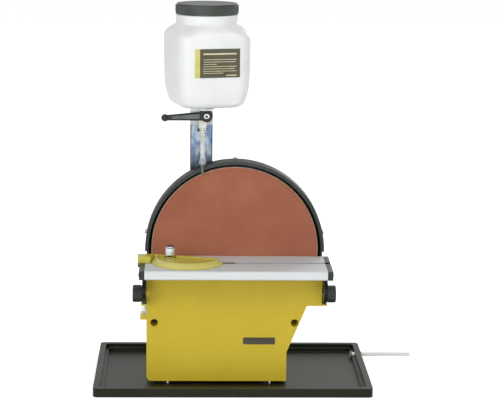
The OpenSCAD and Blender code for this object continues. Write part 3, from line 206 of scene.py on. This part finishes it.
finishes = {
    "yellow_shell": mouldedPlastic("satin yellow ABS", "#ceb52b", "#d2b930", 0.48, uneven=0.02,
                                   Specular_IOR_Level=0.35),
    "yellow_casting": mouldedPlastic("yellow powder-coated zinc casting", "#c0b33f", "#cdc053", 0.4, grain=1.6),
    "yellow_slope_highlight": mouldedPlastic("yellow powder coat with painted highlight on the slope", "#c6be62", "#d0c873", 0.42, grain=1.6),
    "yellow_dark_line": mouldedPlastic("dark line round the flat top", "#7d7126", "#8d8030", 0.6, patch=20.0),
    "black_plastic": mouldedPlastic("black glass-filled nylon", "#161919", "#212524", 0.38, Specular_IOR_Level=0.35),
    "knob_plastic": mouldedPlastic("ribbed black nylon", "#1b1e1d", "#292d2c", 0.34),
    "hood_plastic": mouldedPlastic("dark grey moulded ABS", "#171b18", "#212723", 0.48, Specular_IOR_Level=0.16),
    "hood_lip_lit_tone": mouldedPlastic("grey ABS painted paler on the lip", "#252a28", "#303633", 0.42, Specular_IOR_Level=0.35),
    "cap_plastic": mouldedPlastic("ribbed grey polypropylene", "#383d39", "#464c47", 0.45, Specular_IOR_Level=0.35),
    "tray_plastic": mouldedPlastic("charcoal polypropylene", "#11130d", "#161911", 0.44, grain=1.5, depth=0.006,
                                   uneven=0.01, Specular_IOR_Level=0.28, Specular_Tint=hexColor("#e6eacf")),
    "tray_edge_highlight": mouldedPlastic("polypropylene edge with painted highlight", "#2c2f28", "#393d34", 0.32, grain=1.5, depth=0.006),
    "shaded_nylon": mouldedPlastic("nylon darkened by painted shade", "#6f6f64", "#85857a", 0.5),
    "chamber_shade_black": mouldedPlastic("matt black painted shade in the chamber", "#0c0d0d", "#151616", 0.7),
    "table_aluminium": workedMetal("extruded anodised aluminium", "#cbd0d1", "#d8dcdd", 0.62, (1, 30, 30), 40.0,
                                   metallic=0.2),
    "groove_shade_grey": workedMetal("milled groove darkened by painted shade", "#a0a4a4", "#b2b6b6", 0.6, (1, 30, 30), 40.0, metallic=0.05),
    "motor_casting": mouldedPlastic("dark grey painted casting", "#363b3d", "#434a4c", 0.45, grain=1.7, depth=0.07),
    "steel": workedMetal("plain turned steel", "#9da1a5", "#c4c8cc", 0.32),
    "bright_steel": workedMetal("bright nickel plate", "#b9bcc1", "#dcdfe2", 0.2),
    "black_steel": workedMetal("black oxide steel", "#26292a", "#393d3e", 0.38, metallic=0.7),
    "grey_metal": workedMetal("grey sintered bronze", "#585c5b", "#6f7473", 0.5, metallic=0.5),
    "abrasive": abrasivePaper("aluminium oxide paper", "#a0624b", "#ab6c52"),
    "paper_edge": mouldedPlastic("cut paper backing", "#a98973", "#bd9d86", 0.8, patch=12.0),
    "rubber": mouldedPlastic("matt nitrile rubber", "#171818", "#212222", 0.7),
    "milk_plastic": mouldedPlastic("natural polyethylene", "#e4e7e6", "#edefee", 0.38, grain=4.0, depth=0.06,
                                   patch=60.0, Subsurface_Weight=0.2, Subsurface_Radius=(0.02, 0.02, 0.02),
                                   Subsurface_Scale=0.3),
    "white_nylon": mouldedPlastic("natural nylon", "#e6e4d9", "#f0efe7", 0.38, grain=2.0, patch=14.0),
    "clear_plastic": clearPlastic("clear polycarbonate", "#eef2f3", "#fbfcfc", 0.9),
    "hose": clearPlastic("soft clear vinyl hose", "#dcdfde", "#f1f2f1", 0.4),
    "hose_flare": clearPlastic("stretched clear vinyl", "#eef0ef", "#fafafa", 0.85),
    "board": mouldedPlastic("green solder lacquer", "#2f5a3a", "#3f6f4a", 0.35, patch=9.0),
    "zinc": zincPlate("blue passivated zinc",
                      [(0.3, "#4a6c9f"), (0.42, "#7288a6"), (0.54, "#9eacb9"), (0.7, "#c7d0d7")], 0.32,
                      hoodShade=(330, 366)),
    "zinc_edge_shade": zincPlate("zinc edge darkened by painted shade", [(0.35, "#2b3148"), (0.65, "#454e68")], 0.55, 0.1),
    "zinc_pale": zincPlate("pale zinc", [(0.35, "#a2a7a8"), (0.65, "#c4c8c6")], 0.35),
    "label_dark": mouldedPlastic("dark label film", "#454230", "#504c3a", 0.4, patch=20.0),
    "label_stripe": mouldedPlastic("yellow label film", "#c3bd5e", "#d2cc78", 0.4, patch=20.0),
    "label_rule": mouldedPlastic("pale label print", "#c9bf98", "#ddd5b4", 0.5, patch=20.0),
    "plate_film": mouldedPlastic("dark bronze plate film", "#2c2618", "#383120", 0.35, patch=20.0),
    "lever_panel": mouldedPlastic("grey nylon panel", "#565b55", "#686e66", 0.45, patch=12.0),
}
print("materials made")


# Pieces
def paint(piece, *names):
    slots = piece.data.materials
    for i, name in enumerate(names):
        if i < len(slots):
            slots[i] = finishes[name]
        else:
            slots.append(finishes[name])


def addPiece(name, shape, body, finish, covers=(), sharp=32):
    mesh = bpy.data.meshes.new(name)
    shape.to_mesh(mesh)
    shape.free()
    mesh.shade_smooth()
    mesh.set_sharp_from_angle(angle=math.radians(sharp))
    piece = bpy.data.objects.new(name, mesh)
    bpy.context.scene.collection.objects.link(piece)
    paint(piece, *([finish] if isinstance(finish, str) else finish))
    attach(piece, body)
    if covers:
        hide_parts(*covers)
    return piece


def copyOf(node, weld=mm / 500, flat=0.4):
    shape = bmesh.new()
    shape.from_mesh(nodes[node].data)
    bmesh.ops.remove_doubles(shape, verts=shape.verts, dist=weld)
    bmesh.ops.dissolve_limit(shape, angle_limit=math.radians(flat), verts=shape.verts, edges=shape.edges)
    for face in shape.faces:
        face.material_index = 0
    return shape


def roundEdges(piece, edge, segments=3, fromAngle=40):
    bevel = piece.modifiers.new("edges", "BEVEL")
    bevel.width = edge * mm
    bevel.segments = segments
    bevel.limit_method = "ANGLE"
    bevel.angle_limit = math.radians(fromAngle)
    bevel.harden_normals = True


def spun(shape, profile, centre, axis=(0, 0, 1), steps=48, weld=mm / 1000):
    axis = Vector(axis)
    across = Vector((0, 0, 1)) if abs(axis.z) < 0.5 else Vector((1, 0, 0))
    verts = [shape.verts.new(Vector(centre) + (across * out + axis * along) * mm) for out, along in profile]
    edges = [shape.edges.new(pair) for pair in zip(verts, verts[1:])]
    bmesh.ops.spin(shape, geom=verts + edges, cent=centre, axis=axis, angle=2 * math.pi, steps=steps, use_merge=True)
    bmesh.ops.remove_doubles(shape, verts=shape.verts, dist=weld)
    bmesh.ops.recalc_face_normals(shape, faces=shape.faces)


def block(shape, low, high, place=Matrix.Identity(4)):
    low, high = Vector(low) * mm, Vector(high) * mm
    fit = Matrix.Translation((low + high) / 2) @ Matrix.Diagonal((*(high - low), 1))
    verts = bmesh.ops.create_cube(shape, size=1, matrix=place @ fit)["verts"]
    return verts, list({face for vert in verts for face in vert.link_faces})


def bevelAll(shape, faces, width, segments):
    edges = list({edge for face in faces for edge in face.edges})
    bmesh.ops.bevel(shape, geom=edges, offset=width * mm, affect="EDGES", segments=segments, profile=0.5, material=-1,
                    clamp_overlap=True)


def middle(node):
    low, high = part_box(node)
    return (low + high) / 2


for node, item in nodes.items():
    paint(item, slotOf[node])
# The drain nut is painted grey, as painted shade where it sits low in the dark tray
for node, finish in {"container_bracket": "zinc_pale", "bracket_screws": "zinc_pale", "guide_bar": "grey_metal",
                     "cover_screws": "black_steel", "switch_body": "white_nylon", "switch_rocker": "white_nylon",
                     "drain_nut": "shaded_nylon"}.items():
    paint(nodes[node], finish)
print("CAD nodes painted")

# Finish and edge radius in millimetres of the moulded and cast pieces that keep their CAD form
rounded = {
    "drip_tray": ("tray_plastic", 1.5),
    "left_trunnion": ("black_plastic", 0.6),
    "right_trunnion": ("black_plastic", 0.6),
    "left_knob": ("knob_plastic", 0.4),
    "right_knob": ("knob_plastic", 0.4),
    "gauge_base": ("yellow_casting", 0.6),
    "container_cap": ("cap_plastic", 0.5),
    "tap_body": ("white_nylon", 0.5),
    "motor_housing": ("motor_casting", 0.6),
    "motor_end_shield": ("motor_casting", 0.6),
    "fan_cover": ("black_plastic", 0.6),
    "dust_spigot": ("black_plastic", 0.5),
}
for node, (finish, edge) in rounded.items():
    roundEdges(addPiece(node + "_rounded", copyOf(node), bodyOf[node], finish, covers=[node]), edge)
# The tray's rounded edges are painted paler as a painted highlight, and are smoother than its faces
tray = bpy.data.objects["drip_tray_rounded"]
paint(tray, "tray_plastic", "tray_edge_highlight")
tray.modifiers["edges"].material = 1
print("edges rounded")


# Shells: yellow outside; the disc chamber and the rims above the table are painted matt black as painted shade, and the
# hood's front-facing lip is painted paler as painted light
def makeShells():
    shell = {"axis": (2.0, 208.3), "shadedRadius": 131.0, "back": -28.9, "rim": 186.0, "edge": 1.0, "hoodEdge": 0.8,
             "facing": 0.5, "level": 0.7}
    for node in ("front_cover", "rear_housing"):
        shape = copyOf(node)
        bmesh.ops.bisect_plane(shape, geom=shape.verts[:] + shape.edges[:] + shape.faces[:],
                               plane_co=(0, 0, shell["rim"] * mm), plane_no=(0, 0, 1))
        for face in shape.faces:
            spot = face.calc_center_median() / mm
            away = Vector((spot.x - shell["axis"][0], 0, spot.z - shell["axis"][1]))
            facesFront, facesUp = face.normal.y < -shell["facing"], face.normal.z > shell["level"]
            facesIn = face.normal.dot(away) < 0 or facesFront or facesUp
            inside = node == "rear_housing" and away.length < shell["shadedRadius"]
            # Faces turned into the disc chamber, and into the rims above the table, get the painted shade
            if spot.y < shell["back"] and facesIn and (inside or spot.z > shell["rim"]):
                face.material_index = 1
        piece = addPiece(node + "_rounded", shape, "machine", ["yellow_shell", "chamber_shade_black"], [node])
        roundEdges(piece, shell["edge"])
    shape = copyOf("disc_hood")
    for face in shape.faces:
        # Front-facing faces of the hood are painted a paler tone of the same plastic, as painted light
        if face.normal.y < -shell["facing"]:
            face.material_index = 1
    roundEdges(addPiece("disc_hood_rounded", shape, "machine", ["hood_plastic", "hood_lip_lit_tone"], ["disc_hood"]),
               shell["hoodEdge"])


makeShells()


# Abrasive sheet with its pale cut edge
def makeSheet():
    sheet = {"radius": 125.0, "edge": 1.1, "chamfer": 0.35}
    low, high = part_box("abrasive_disc")
    thick = (high.y - low.y) / mm
    outer, inner = sheet["radius"], sheet["radius"] - sheet["edge"]
    chamfer = sheet["chamfer"]
    centre = Vector(((low.x + high.x) / 2, high.y, (low.z + high.z) / 2))
    shape = bmesh.new()
    spun(shape, [(0, thick), (inner, thick), (outer - chamfer, thick), (outer, thick - chamfer), (outer, 0), (0, 0)],
         centre, (0, -1, 0), steps=128)
    for face in shape.faces:
        spot = (face.calc_center_median() - centre) / mm
        if math.hypot(spot.x, spot.z) > inner - sheet["edge"] / 4:
            face.material_index = 1
    addPiece("abrasive_sheet", shape, "disc", ["abrasive", "paper_edge"], ["abrasive_disc"])


makeSheet()


# Bare plate on the front panel, with a raised rim
def makeFrontPlate():
    plate = {"left": 15.6, "right": 63.9, "foot": 64.6, "top": 75.2, "proud": 0.5, "sunk": 0.5, "rim": 0.8,
             "corner": 1.4, "facing": 0.9}
    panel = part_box("front_cover")[0].y / mm
    shape = bmesh.new()
    block(shape, (plate["left"], panel - plate["proud"], plate["foot"]),
          (plate["right"], panel + plate["sunk"], plate["top"]))
    upright = [edge for edge in shape.edges if abs((edge.verts[0].co - edge.verts[1].co).y) > plate["sunk"] * mm]
    bmesh.ops.bevel(shape, geom=upright, offset=plate["corner"] * mm, affect="EDGES", segments=5, profile=0.5,
                    material=-1)
    front = [face for face in shape.faces if face.normal.y < -plate["facing"]]
    bmesh.ops.inset_region(shape, faces=front, thickness=plate["rim"] * mm, depth=-plate["proud"] / 2 * mm)
    addPiece("front_plate", shape, "machine", "plate_film")


makeFrontPlate()


# Pale moulded pips under the front cover, which stand on the tray's floor
def makePips():
    pip = {"places": (-97.8, 56.6), "half": 1.1, "front": -66.2, "back": -60.0, "foot": 3.0, "top": 7.2, "edge": 0.4}
    shape = bmesh.new()
    for x in pip["places"]:
        faces = block(shape, (x - pip["half"], pip["front"], pip["foot"]),
                      (x + pip["half"], pip["back"], pip["top"]))[1]
        bevelAll(shape, faces, pip["edge"], segments=2)
    addPiece("cover_pips", shape, "machine", "white_nylon")


makePips()


# Low domed black screws in the ends of the table, each with a socket
def makeTableScrews():
    screw = {"ys": (-151.7, -71.7), "z": 191.5, "ends": (-138.9, 142.9), "radius": 3.4, "dome": 0.9, "socket": 1.3,
             "sunk": 1.0, "rim": 0.2, "crownShares": (0.75, 0.8), "socketFoot": -0.5, "drillFoot": -0.7}
    wide, tall = screw["crownShares"]
    profile = [(0, -screw["sunk"]), (screw["radius"], -screw["sunk"]), (screw["radius"], screw["rim"]),
               (screw["radius"] * wide, screw["dome"] * tall), (screw["socket"], screw["dome"]),
               (screw["socket"], screw["socketFoot"]), (0, screw["drillFoot"])]
    shape = bmesh.new()
    for side, x in zip((-1, 1), screw["ends"]):
        for y in screw["ys"]:
            spun(shape, profile, Vector((x, y, screw["z"])) * mm, (side, 0, 0), steps=24)
    addPiece("table_screw_heads", shape, "table", "black_steel", ["table_screws"])


makeTableScrews()


# Table with a mitre groove painted a little darker than its top, as painted shade
def makeTable():
    table = {"groove": (-105.8, -95.6), "deep": 6.4, "skin": 0.1, "edge": 0.3}
    front, back = table["groove"]
    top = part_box("table_plate")[1].z / mm
    shape = copyOf("table_plate")
    for face in shape.faces:
        # The groove's faces are painted darker, as painted shade
        spot = face.calc_center_median() / mm
        if front < spot.y < back and top - table["deep"] < spot.z < top - table["skin"]:
            face.material_index = 1
    roundEdges(addPiece("table_plate_rounded", shape, "table", ["table_aluminium", "groove_shade_grey"], ["table_plate"]),
               table["edge"])


makeTable()


# Half disc of the gauge: its sloped rim is painted paler as a painted highlight, and a dark line is painted round its
# flat top
def makeGaugeHead():
    head = {"line": 2.0, "edge": 0.5, "sloped": 0.3, "level": 0.95, "skin": 0.5}
    shape = copyOf("gauge_head")
    shape.normal_update()
    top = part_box("gauge_head")[1].z
    for face in shape.faces:
        # Sloped faces get the painted highlight
        if head["sloped"] < face.normal.z < head["level"]:
            face.material_index = 1
    ledge = top - head["skin"] * mm
    flat = max((face for face in shape.faces if face.normal.z > head["level"] and face.calc_center_median().z < ledge),
               key=lambda face: face.calc_area())
    # A dark line is painted round the flat top
    for face in bmesh.ops.inset_region(shape, faces=[flat], thickness=head["line"] * mm)["faces"]:
        face.material_index = 2
    piece = addPiece("gauge_head_rounded", shape, "gauge", ["yellow_casting", "yellow_slope_highlight", "yellow_dark_line"],
                     ["gauge_head"])
    roundEdges(piece, head["edge"])


makeGaugeHead()


# Thumb screw: plated grip, with its top face dark, and its groove and neck painted dark as painted shade
def makeThumbScrew():
    screw = {"neck": 2.4, "groove": (2.5, 1.1), "reach": 5.0, "skin": 0.05}
    low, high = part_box("gauge_screw")
    centre = (low + high) / 2
    shape = copyOf("gauge_screw")
    for face in shape.faces:
        spot = face.calc_center_median()
        fromTop, fromFoot = (high.z - spot.z) / mm, (spot.z - low.z) / mm
        away = math.hypot(spot.x - centre.x, spot.y - centre.y) / mm
        inGroove = screw["groove"][1] < fromTop < screw["groove"][0] and away < screw["reach"]
        # Dark top face, and painted shade in the groove and under the grip
        if fromTop < screw["skin"] or fromFoot < screw["neck"] or inGroove:
            face.material_index = 1
    addPiece("gauge_screw_dressed", shape, "gauge_lock", ["bright_steel", "black_steel"], ["gauge_screw"])


makeThumbScrew()
print("housing and table dressed")


# Post: a channel with a lipped front, the lip and the step walls beside it painted darker than its face as painted
# shade
def makePost():
    post = {"lip": 2.3, "step": 0.35, "skin": 0.1, "facing": 0.9}
    shape = copyOf("support_post")
    ahead = min(vert.co.y for vert in shape.verts)
    front = [face for face in shape.faces
             if face.normal.y < -post["facing"] and face.calc_center_median().y < ahead + post["skin"] * mm]
    lip = bmesh.ops.inset_region(shape, faces=front, thickness=post["lip"] * mm, depth=-post["step"] * mm)
    for face in lip["faces"]:
        face.material_index = 1
    # The step walls beside the lip get the painted shade too
    for face in shape.faces:
        if abs(face.normal.x) > post["facing"] and face.calc_center_median().y < ahead + post["step"] * mm:
            face.material_index = 1
    addPiece("support_post_lipped", shape, "machine", ["zinc", "zinc_edge_shade"], ["support_post"])


makePost()


# Container: rounded square loops bridged from its foot to its round neck
def makeContainer():
    bottle = {
        "half": 55.5,
        "corner": 22.0,
        "footCorner": 20.0,
        "foot": 13.0,
        "footSweep": 70.0,
        "footHalf": 50.2,
        "taper": 36.0,
        "bulge": 1.0,
        "side": 104.0,
        "shoulder": 17.0,
        "neck": 45.2,
        "bead": 133.8,
        "mouth": 43.4,
        "rise": 146.4,
        "turn": 15.0,
        "steps": 10,
        "beadStep": 0.4,
        "roundShare": 0.995,
        "footLoops": 5,
        "wallLoops": 6,
        "shoulderLoops": 7,
    }
    full = bottle["half"] - bottle["bulge"]
    loops = []
    for i in range(bottle["footLoops"] + 1):
        angle = math.radians(bottle["footSweep"] * i / bottle["footLoops"])
        loops.append((bottle["foot"] * (1 - math.cos(angle)),
                      bottle["footHalf"] - bottle["foot"] * (1 - math.sin(angle)), bottle["footCorner"]))
    footTop, footWide = loops[-1][:2]
    count = bottle["wallLoops"]
    for i in range(1, count + 1):
        ease = math.sin(math.pi / 2 * i / count)
        loops.append((footTop + (bottle["taper"] - footTop) * i / count, footWide + (full - footWide) * ease,
                      bottle["footCorner"] + (bottle["corner"] - bottle["footCorner"]) * ease))
    for i in range(1, count + 1):
        swell = bottle["bulge"] * math.sin(math.pi / 2 * min(1, 2 * i / count))
        loops.append((bottle["taper"] + (bottle["side"] - bottle["taper"]) * i / count, full + swell, bottle["corner"]))
    for i in range(1, bottle["shoulderLoops"] + 1):
        share = i / bottle["shoulderLoops"]
        half = bottle["half"] + (bottle["neck"] - bottle["half"]) * (1 - math.cos(share * math.pi / 2))
        loops.append((bottle["side"] + bottle["shoulder"] * share, half,
                      bottle["corner"] + (bottle["neck"] - bottle["corner"]) * share))
    loops += [(bottle["bead"], bottle["neck"], bottle["neck"]),
              (bottle["bead"] + bottle["beadStep"], bottle["mouth"], bottle["mouth"]),
              (bottle["rise"], bottle["mouth"], bottle["mouth"])]
    low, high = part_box("container")
    seat = Vector(((low.x + high.x) / 2, (low.y + high.y) / 2, low.z))
    place = Matrix.Translation(seat) @ Matrix.Rotation(math.radians(bottle["turn"]), 4, "Z")
    shape = bmesh.new()
    below = []
    for lift, half, corner in loops:
        fit = Matrix.Translation((0, 0, lift * mm)) @ Matrix.Rotation(math.pi / 4, 4, "Z")
        verts = bmesh.ops.create_circle(shape, cap_ends=True, segments=4, radius=half * math.sqrt(2) * mm,
                                        matrix=place @ fit)["verts"]
        bmesh.ops.bevel(shape, geom=verts, offset=min(corner, half * bottle["roundShare"]) * mm, affect="VERTICES",
                        segments=bottle["steps"], profile=0.5, material=-1)
        flat = next(face for face in shape.faces if len(face.verts) > 4)
        edges = flat.edges[:]
        bmesh.ops.delete(shape, geom=[flat], context="FACES_ONLY")
        if below:
            bmesh.ops.bridge_loops(shape, edges=below + edges)
        below = edges
    bmesh.ops.holes_fill(shape, edges=shape.edges, sides=0)
    bmesh.ops.recalc_face_normals(shape, faces=shape.faces)
    addPiece("container_shell", shape, "machine", "milk_plastic", ["container"], sharp=60)
    return place, bottle


# Plain label on the container's front face, with a stripe and ruled lines in place of words;
# each rule has its height, start and end as shares of the label, and its weight
def makeLabel(place, bottle):
    label = {"left": -33.0, "right": 34.3, "foot": 46.8, "top": 88.4, "sunk": 1.0, "proud": 0.15, "stripe": 7.5,
             "rule": 0.8, "ruleProud": 0.2, "margin": 5.0,
             "rules": ((0.80, 0.0, 1.0, 2.6), (0.62, 0.0, 1.0, 1.0), (0.54, 0.0, 0.96, 1.0), (0.46, 0.0, 0.4, 1.0),
                       (0.38, 0.0, 1.0, 1.0), (0.30, 0.0, 0.94, 1.0), (0.22, 0.0, 1.0, 1.0), (0.15, 0.0, 0.6, 1.0),
                       (0.06, 0.68, 1.0, 1.8))}
    front = -bottle["half"]
    inner = label["left"] + label["stripe"]
    begin, span = inner + label["margin"], label["right"] - inner - 2 * label["margin"]
    plates = [(inner, label["right"], label["foot"], label["top"], label["proud"], 0),
              (label["left"], inner, label["foot"], label["top"], label["proud"], 1)]
    for height, start, end, weight in label["rules"]:
        low = label["foot"] + (label["top"] - label["foot"]) * height
        plates.append((begin + span * start, begin + span * end, low, low + label["rule"] * weight,
                       label["ruleProud"], 2))
    shape = bmesh.new()
    for left, right, foot, top, proud, slot in plates:
        for face in block(shape, (left, front - proud, foot), (right, front + label["sunk"], top), place)[1]:
            face.material_index = slot
    addPiece("container_label", shape, "machine", ["label_dark", "label_stripe", "label_rule"])


makeLabel(*makeContainer())
print("container made")


# Lever of the tap: a tapering arm with a sunk panel, between a ball and a hub with a square shoulder
def makeLever():
    lever = {"tall": 13.2, "deep": 9.2, "taper": 0.6, "edge": 1.5, "rim": 0.8, "slope": 0.5, "sunk": 0.9, "ball": 5.4,
             "neck": 4.0, "neckLong": 10.0, "waist": 2.8, "drop": 3.2, "facing": 0.8,
             "shoulder": ((-10.6, -4.6, -6.0), (0.0, 4.6, 10.4)), "round": 2.4,
             "hub": ((0, 0), (8.2, 0), (9.3, 1.1), (9.3, 8.4), (8.2, 9.6), (5.5, 9.6), (5.1, 9.0), (0, 9.0))}
    low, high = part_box("tap_lever")
    hub = middle("lever_screw")
    depth = (low.y + high.y) / 2
    start = Vector((hub.x, depth, hub.z))
    ball = Vector((low.x + lever["ball"] * mm, depth, hub.z - lever["drop"] * mm))
    long = (start - ball).length / mm
    tilt = Matrix.Rotation(-math.asin(lever["drop"] / long), 4, "Y")
    shape = bmesh.new()
    verts = block(shape, (lever["neck"] - long, -lever["deep"] / 2, -lever["tall"] / 2),
                  (0, lever["deep"] / 2, lever["tall"] / 2))[0]
    far = [vert for vert in verts if vert.co.x < -long / 2 * mm]
    bmesh.ops.scale(shape, vec=(1, lever["taper"], lever["taper"]), verts=far)
    lengthwise = [edge for edge in shape.edges if abs((edge.verts[0].co - edge.verts[1].co).x) > long / 2 * mm]
    bmesh.ops.bevel(shape, geom=lengthwise, offset=lever["edge"] * mm, affect="EDGES", segments=4, profile=0.5,
                    material=-1)
    shape.normal_update()
    panel = [max((face for face in shape.faces if face.normal.y < -lever["facing"]), key=lambda face: face.calc_area())]
    bmesh.ops.inset_region(shape, faces=panel, thickness=lever["rim"] * mm)
    bmesh.ops.inset_region(shape, faces=panel, thickness=lever["slope"] * mm, depth=-lever["sunk"] * mm)
    panel[0].material_index = 1
    bmesh.ops.transform(shape, matrix=Matrix.Translation(start) @ tilt, verts=shape.verts)
    bmesh.ops.create_uvsphere(shape, u_segments=32, v_segments=20, radius=lever["ball"] * mm,
                              matrix=Matrix.Translation(ball))
    spun(shape, [(0, 0), (lever["neck"], 0), (lever["waist"], lever["neckLong"] / 2),
                 (lever["neck"], lever["neckLong"]), (0, lever["neckLong"])],
         ball, (start - ball).normalized(), steps=24)
    faces = block(shape, *lever["shoulder"], Matrix.Translation(start))[1]
    bevelAll(shape, faces, lever["round"], segments=4)
    spun(shape, lever["hub"], Vector((hub.x, high.y, hub.z)), (0, -1, 0))
    addPiece("tap_lever_form", shape, "tap", ["black_plastic", "lever_panel"], ["tap_lever"], sharp=40)


makeLever()


# Screw of the lever: bright domed head, with its socket painted dark as painted shade
def makeLeverScrew():
    screw = {"socket": 1.9, "deep": 2.2, "drill": 0.2, "chamfer": 0.3, "dome": 0.9, "crown": 0.1, "rim": 0.2,
             "tall": 3.0, "shank": 2.0, "skin": 0.04, "dark": 2.5}
    low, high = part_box("lever_screw")
    head = (high.x - low.x) / 2 / mm
    long = (high.y - low.y) / mm
    axis = Vector(((low.x + high.x) / 2, low.y, (low.z + high.z) / 2))
    socket, dome, tall, shank = (screw[key] for key in ("socket", "dome", "tall", "shank"))
    shape = bmesh.new()
    spun(shape, [(0, screw["deep"] + screw["drill"]), (socket, screw["deep"]), (socket, screw["chamfer"]),
                 (socket + screw["chamfer"], 0), (head - dome, screw["crown"]), (head - screw["rim"], dome),
                 (head, dome * 2), (head, tall), (shank, tall), (shank, long), (0, long)], axis, (0, 1, 0))
    for face in shape.faces:
        spot = (face.calc_center_median() - axis) / mm
        # The socket's faces get painted shade
        if math.hypot(spot.x, spot.z) < socket + screw["skin"] and spot.y < screw["dark"]:
            face.material_index = 1
    addPiece("lever_screw_form", shape, "tap", ["bright_steel", "black_steel"], ["lever_screw"])


makeLeverScrew()


# Hose that widens over the nozzle's cone, the turned nozzle, and the clip with its wire ends
def makeHose():
    hose = {"top": 3.8, "waist": 3.4, "mouth": 5.2, "wall": 0.8, "collar": 12.0, "bend": 8.0, "flare": 3.0,
            "drape": 6.5}
    tip = {"bore": 1.2, "tube": 2.1, "cone": 3.7, "point": 1.7, "coneTop": 3.0, "coneFoot": 7.5, "shank": 11.5,
           "barb": 9.0}
    clip = {"radius": 5.0, "edge": 0.6, "wire": 0.9, "wireLong": 3.2, "wireSunk": 2.0, "spread": 5.0, "knob": 2.3,
            "knobLong": 3.6, "knobSunk": 1.0, "knobEdge": 0.5}
    low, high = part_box("drip_hose")
    foot, top = low.z / mm, high.z / mm
    centre = Vector(((low.x + high.x) / 2, (low.y + high.y) / 2, 0))
    outer = [(hose["top"], top), (hose["waist"], top - hose["collar"]), (hose["waist"], foot + hose["bend"]),
             (hose["waist"], foot + hose["flare"]), (hose["mouth"], foot - hose["drape"])]
    inner = [(out - hose["wall"], up) for out, up in reversed(outer)]
    shape = bmesh.new()
    spun(shape, outer + inner + outer[:1], centre)
    for face in shape.faces:
        if face.calc_center_median().z < (foot + hose["flare"]) * mm:
            face.material_index = 1
    addPiece("drip_hose_form", shape, "machine", ["hose", "hose_flare"], ["drip_hose"], sharp=60)
    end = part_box("drip_nozzle")[0].z / mm
    shape = bmesh.new()
    spun(shape, [(tip["bore"], end), (tip["tube"], end), (tip["tube"], foot - tip["shank"]),
                 (tip["cone"], foot - tip["coneFoot"]), (tip["point"], foot + tip["coneTop"]),
                 (tip["point"], foot + tip["barb"]), (tip["bore"], foot + tip["barb"]), (tip["bore"], end)], centre)
    addPiece("drip_nozzle_form", shape, "machine", "grey_metal", ["drip_nozzle"])
    low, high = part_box("hose_clip")
    bottom, upper = low.z / mm, high.z / mm
    level = (bottom + upper) / 2
    radius, edge = clip["radius"], clip["edge"]
    shape = bmesh.new()
    spun(shape, [(hose["top"], bottom), (radius - edge, bottom), (radius, bottom + edge), (radius, upper - edge),
                 (radius - edge, upper), (hose["top"], upper), (hose["top"], bottom)], centre)
    band = set(shape.faces)
    for side in (-1, 1):
        spun(shape, [(0, 0), (clip["wire"], 0), (clip["wire"], clip["wireLong"]), (0, clip["wireLong"])],
             centre + Vector((side * clip["spread"] / 2, clip["wireSunk"] - radius, level)) * mm, (0, -1, 0), steps=16)
    spun(shape, [(0, 0), (clip["knob"], clip["knobEdge"]), (clip["knob"], clip["knobLong"]),
                 (0, clip["knobLong"] + clip["knobEdge"])],
         centre + Vector((clip["knobSunk"] - radius, 0, level)) * mm, (-1, 0, 0), steps=20)
    for face in shape.faces:
        if face not in band:
            face.material_index = 1
    addPiece("hose_clip_form", shape, "machine", ["white_nylon", "black_plastic"], ["hose_clip"])


makeHose()
print("tap dressed")


# Stage: white to the camera, to gloss and through clear pieces, and plain light on the object
def seenRays(tree):
    path = addNode(tree, "ShaderNodeLightPath")
    either = addNode(tree, "ShaderNodeMath", {0: path.outputs["Is Camera Ray"], 1: path.outputs["Is Glossy Ray"]},
                     operation="MAXIMUM")
    return addNode(tree, "ShaderNodeMath", {0: either.outputs[0], 1: path.outputs["Is Transmission Ray"]},
                   operation="MAXIMUM").outputs[0]


def makeStage():
    studio = {"floor": 6.0, "below": 0.2, "ambient": 0.42, "lift": 0.62}
    shape = bmesh.new()
    bmesh.ops.create_grid(shape, x_segments=1, y_segments=1, size=studio["floor"],
                          matrix=Matrix.Translation((0, 0, -studio["below"] * mm)))
    mesh = bpy.data.meshes.new("floor")
    shape.to_mesh(mesh)
    shape.free()
    floor = bpy.data.objects.new("floor", mesh)
    bpy.context.scene.collection.objects.link(floor)
    paper = mouldedPlastic("white studio paper", "#f4f4f4", "#fafafa", 0.9, grain=4.0, depth=0.02, patch=900.0)
    tree = paper.node_tree
    glow = addNode(tree, "ShaderNodeMath", {0: seenRays(tree), 1: studio["lift"]}, operation="MULTIPLY")
    feed(tree, tree.nodes["Principled BSDF"], {"Emission Color": hexColor("#ffffff"),
                                               "Emission Strength": glow.outputs[0]})
    mesh.materials.append(paper)
    world = bpy.data.worlds.new("studio")
    world.use_nodes = True
    tree = world.node_tree
    level = addNode(tree, "ShaderNodeMapRange", {"Value": seenRays(tree), "To Min": studio["ambient"], "To Max": 1.0})
    feed(tree, tree.nodes["Background"], {"Color": hexColor("#ffffff"), "Strength": level.outputs["Result"]})
    bpy.context.scene.world = world
    bpy.context.scene.view_settings.view_transform = "Standard"


def addLight(name, place, aim, size, power):
    data = bpy.data.lights.new(name, "AREA")
    data.size = size
    data.energy = power
    light = bpy.data.objects.new(name, data)
    light.location = place
    light.visible_camera = False
    light.rotation_euler = (Vector(aim) - Vector(place)).to_track_quat("-Z", "Y").to_euler()
    bpy.context.scene.collection.objects.link(light)


# Lamps in metres and watts: key at the left, fill from high right, a low one for the tray, a rim from behind
lamps = {
    "key": {"place": (-1.2, -2.3, 1.1), "aim": (0, 0, 0.2), "size": 1.2, "power": 25},
    "fill": {"place": (1.2, -1.9, 1.9), "aim": (0, 0, 0.25), "size": 1.4, "power": 17},
    "low": {"place": (0.1, -2.2, 0.15), "aim": (0, 0, 0.1), "size": 0.9, "power": 3},
    "rim": {"place": (1.2, 1.8, 1.1), "aim": (0, 0, 0.3), "size": 0.8, "power": 13},
}
makeStage()
for name, lamp in lamps.items():
    addLight(name, **lamp)
print("stage made")
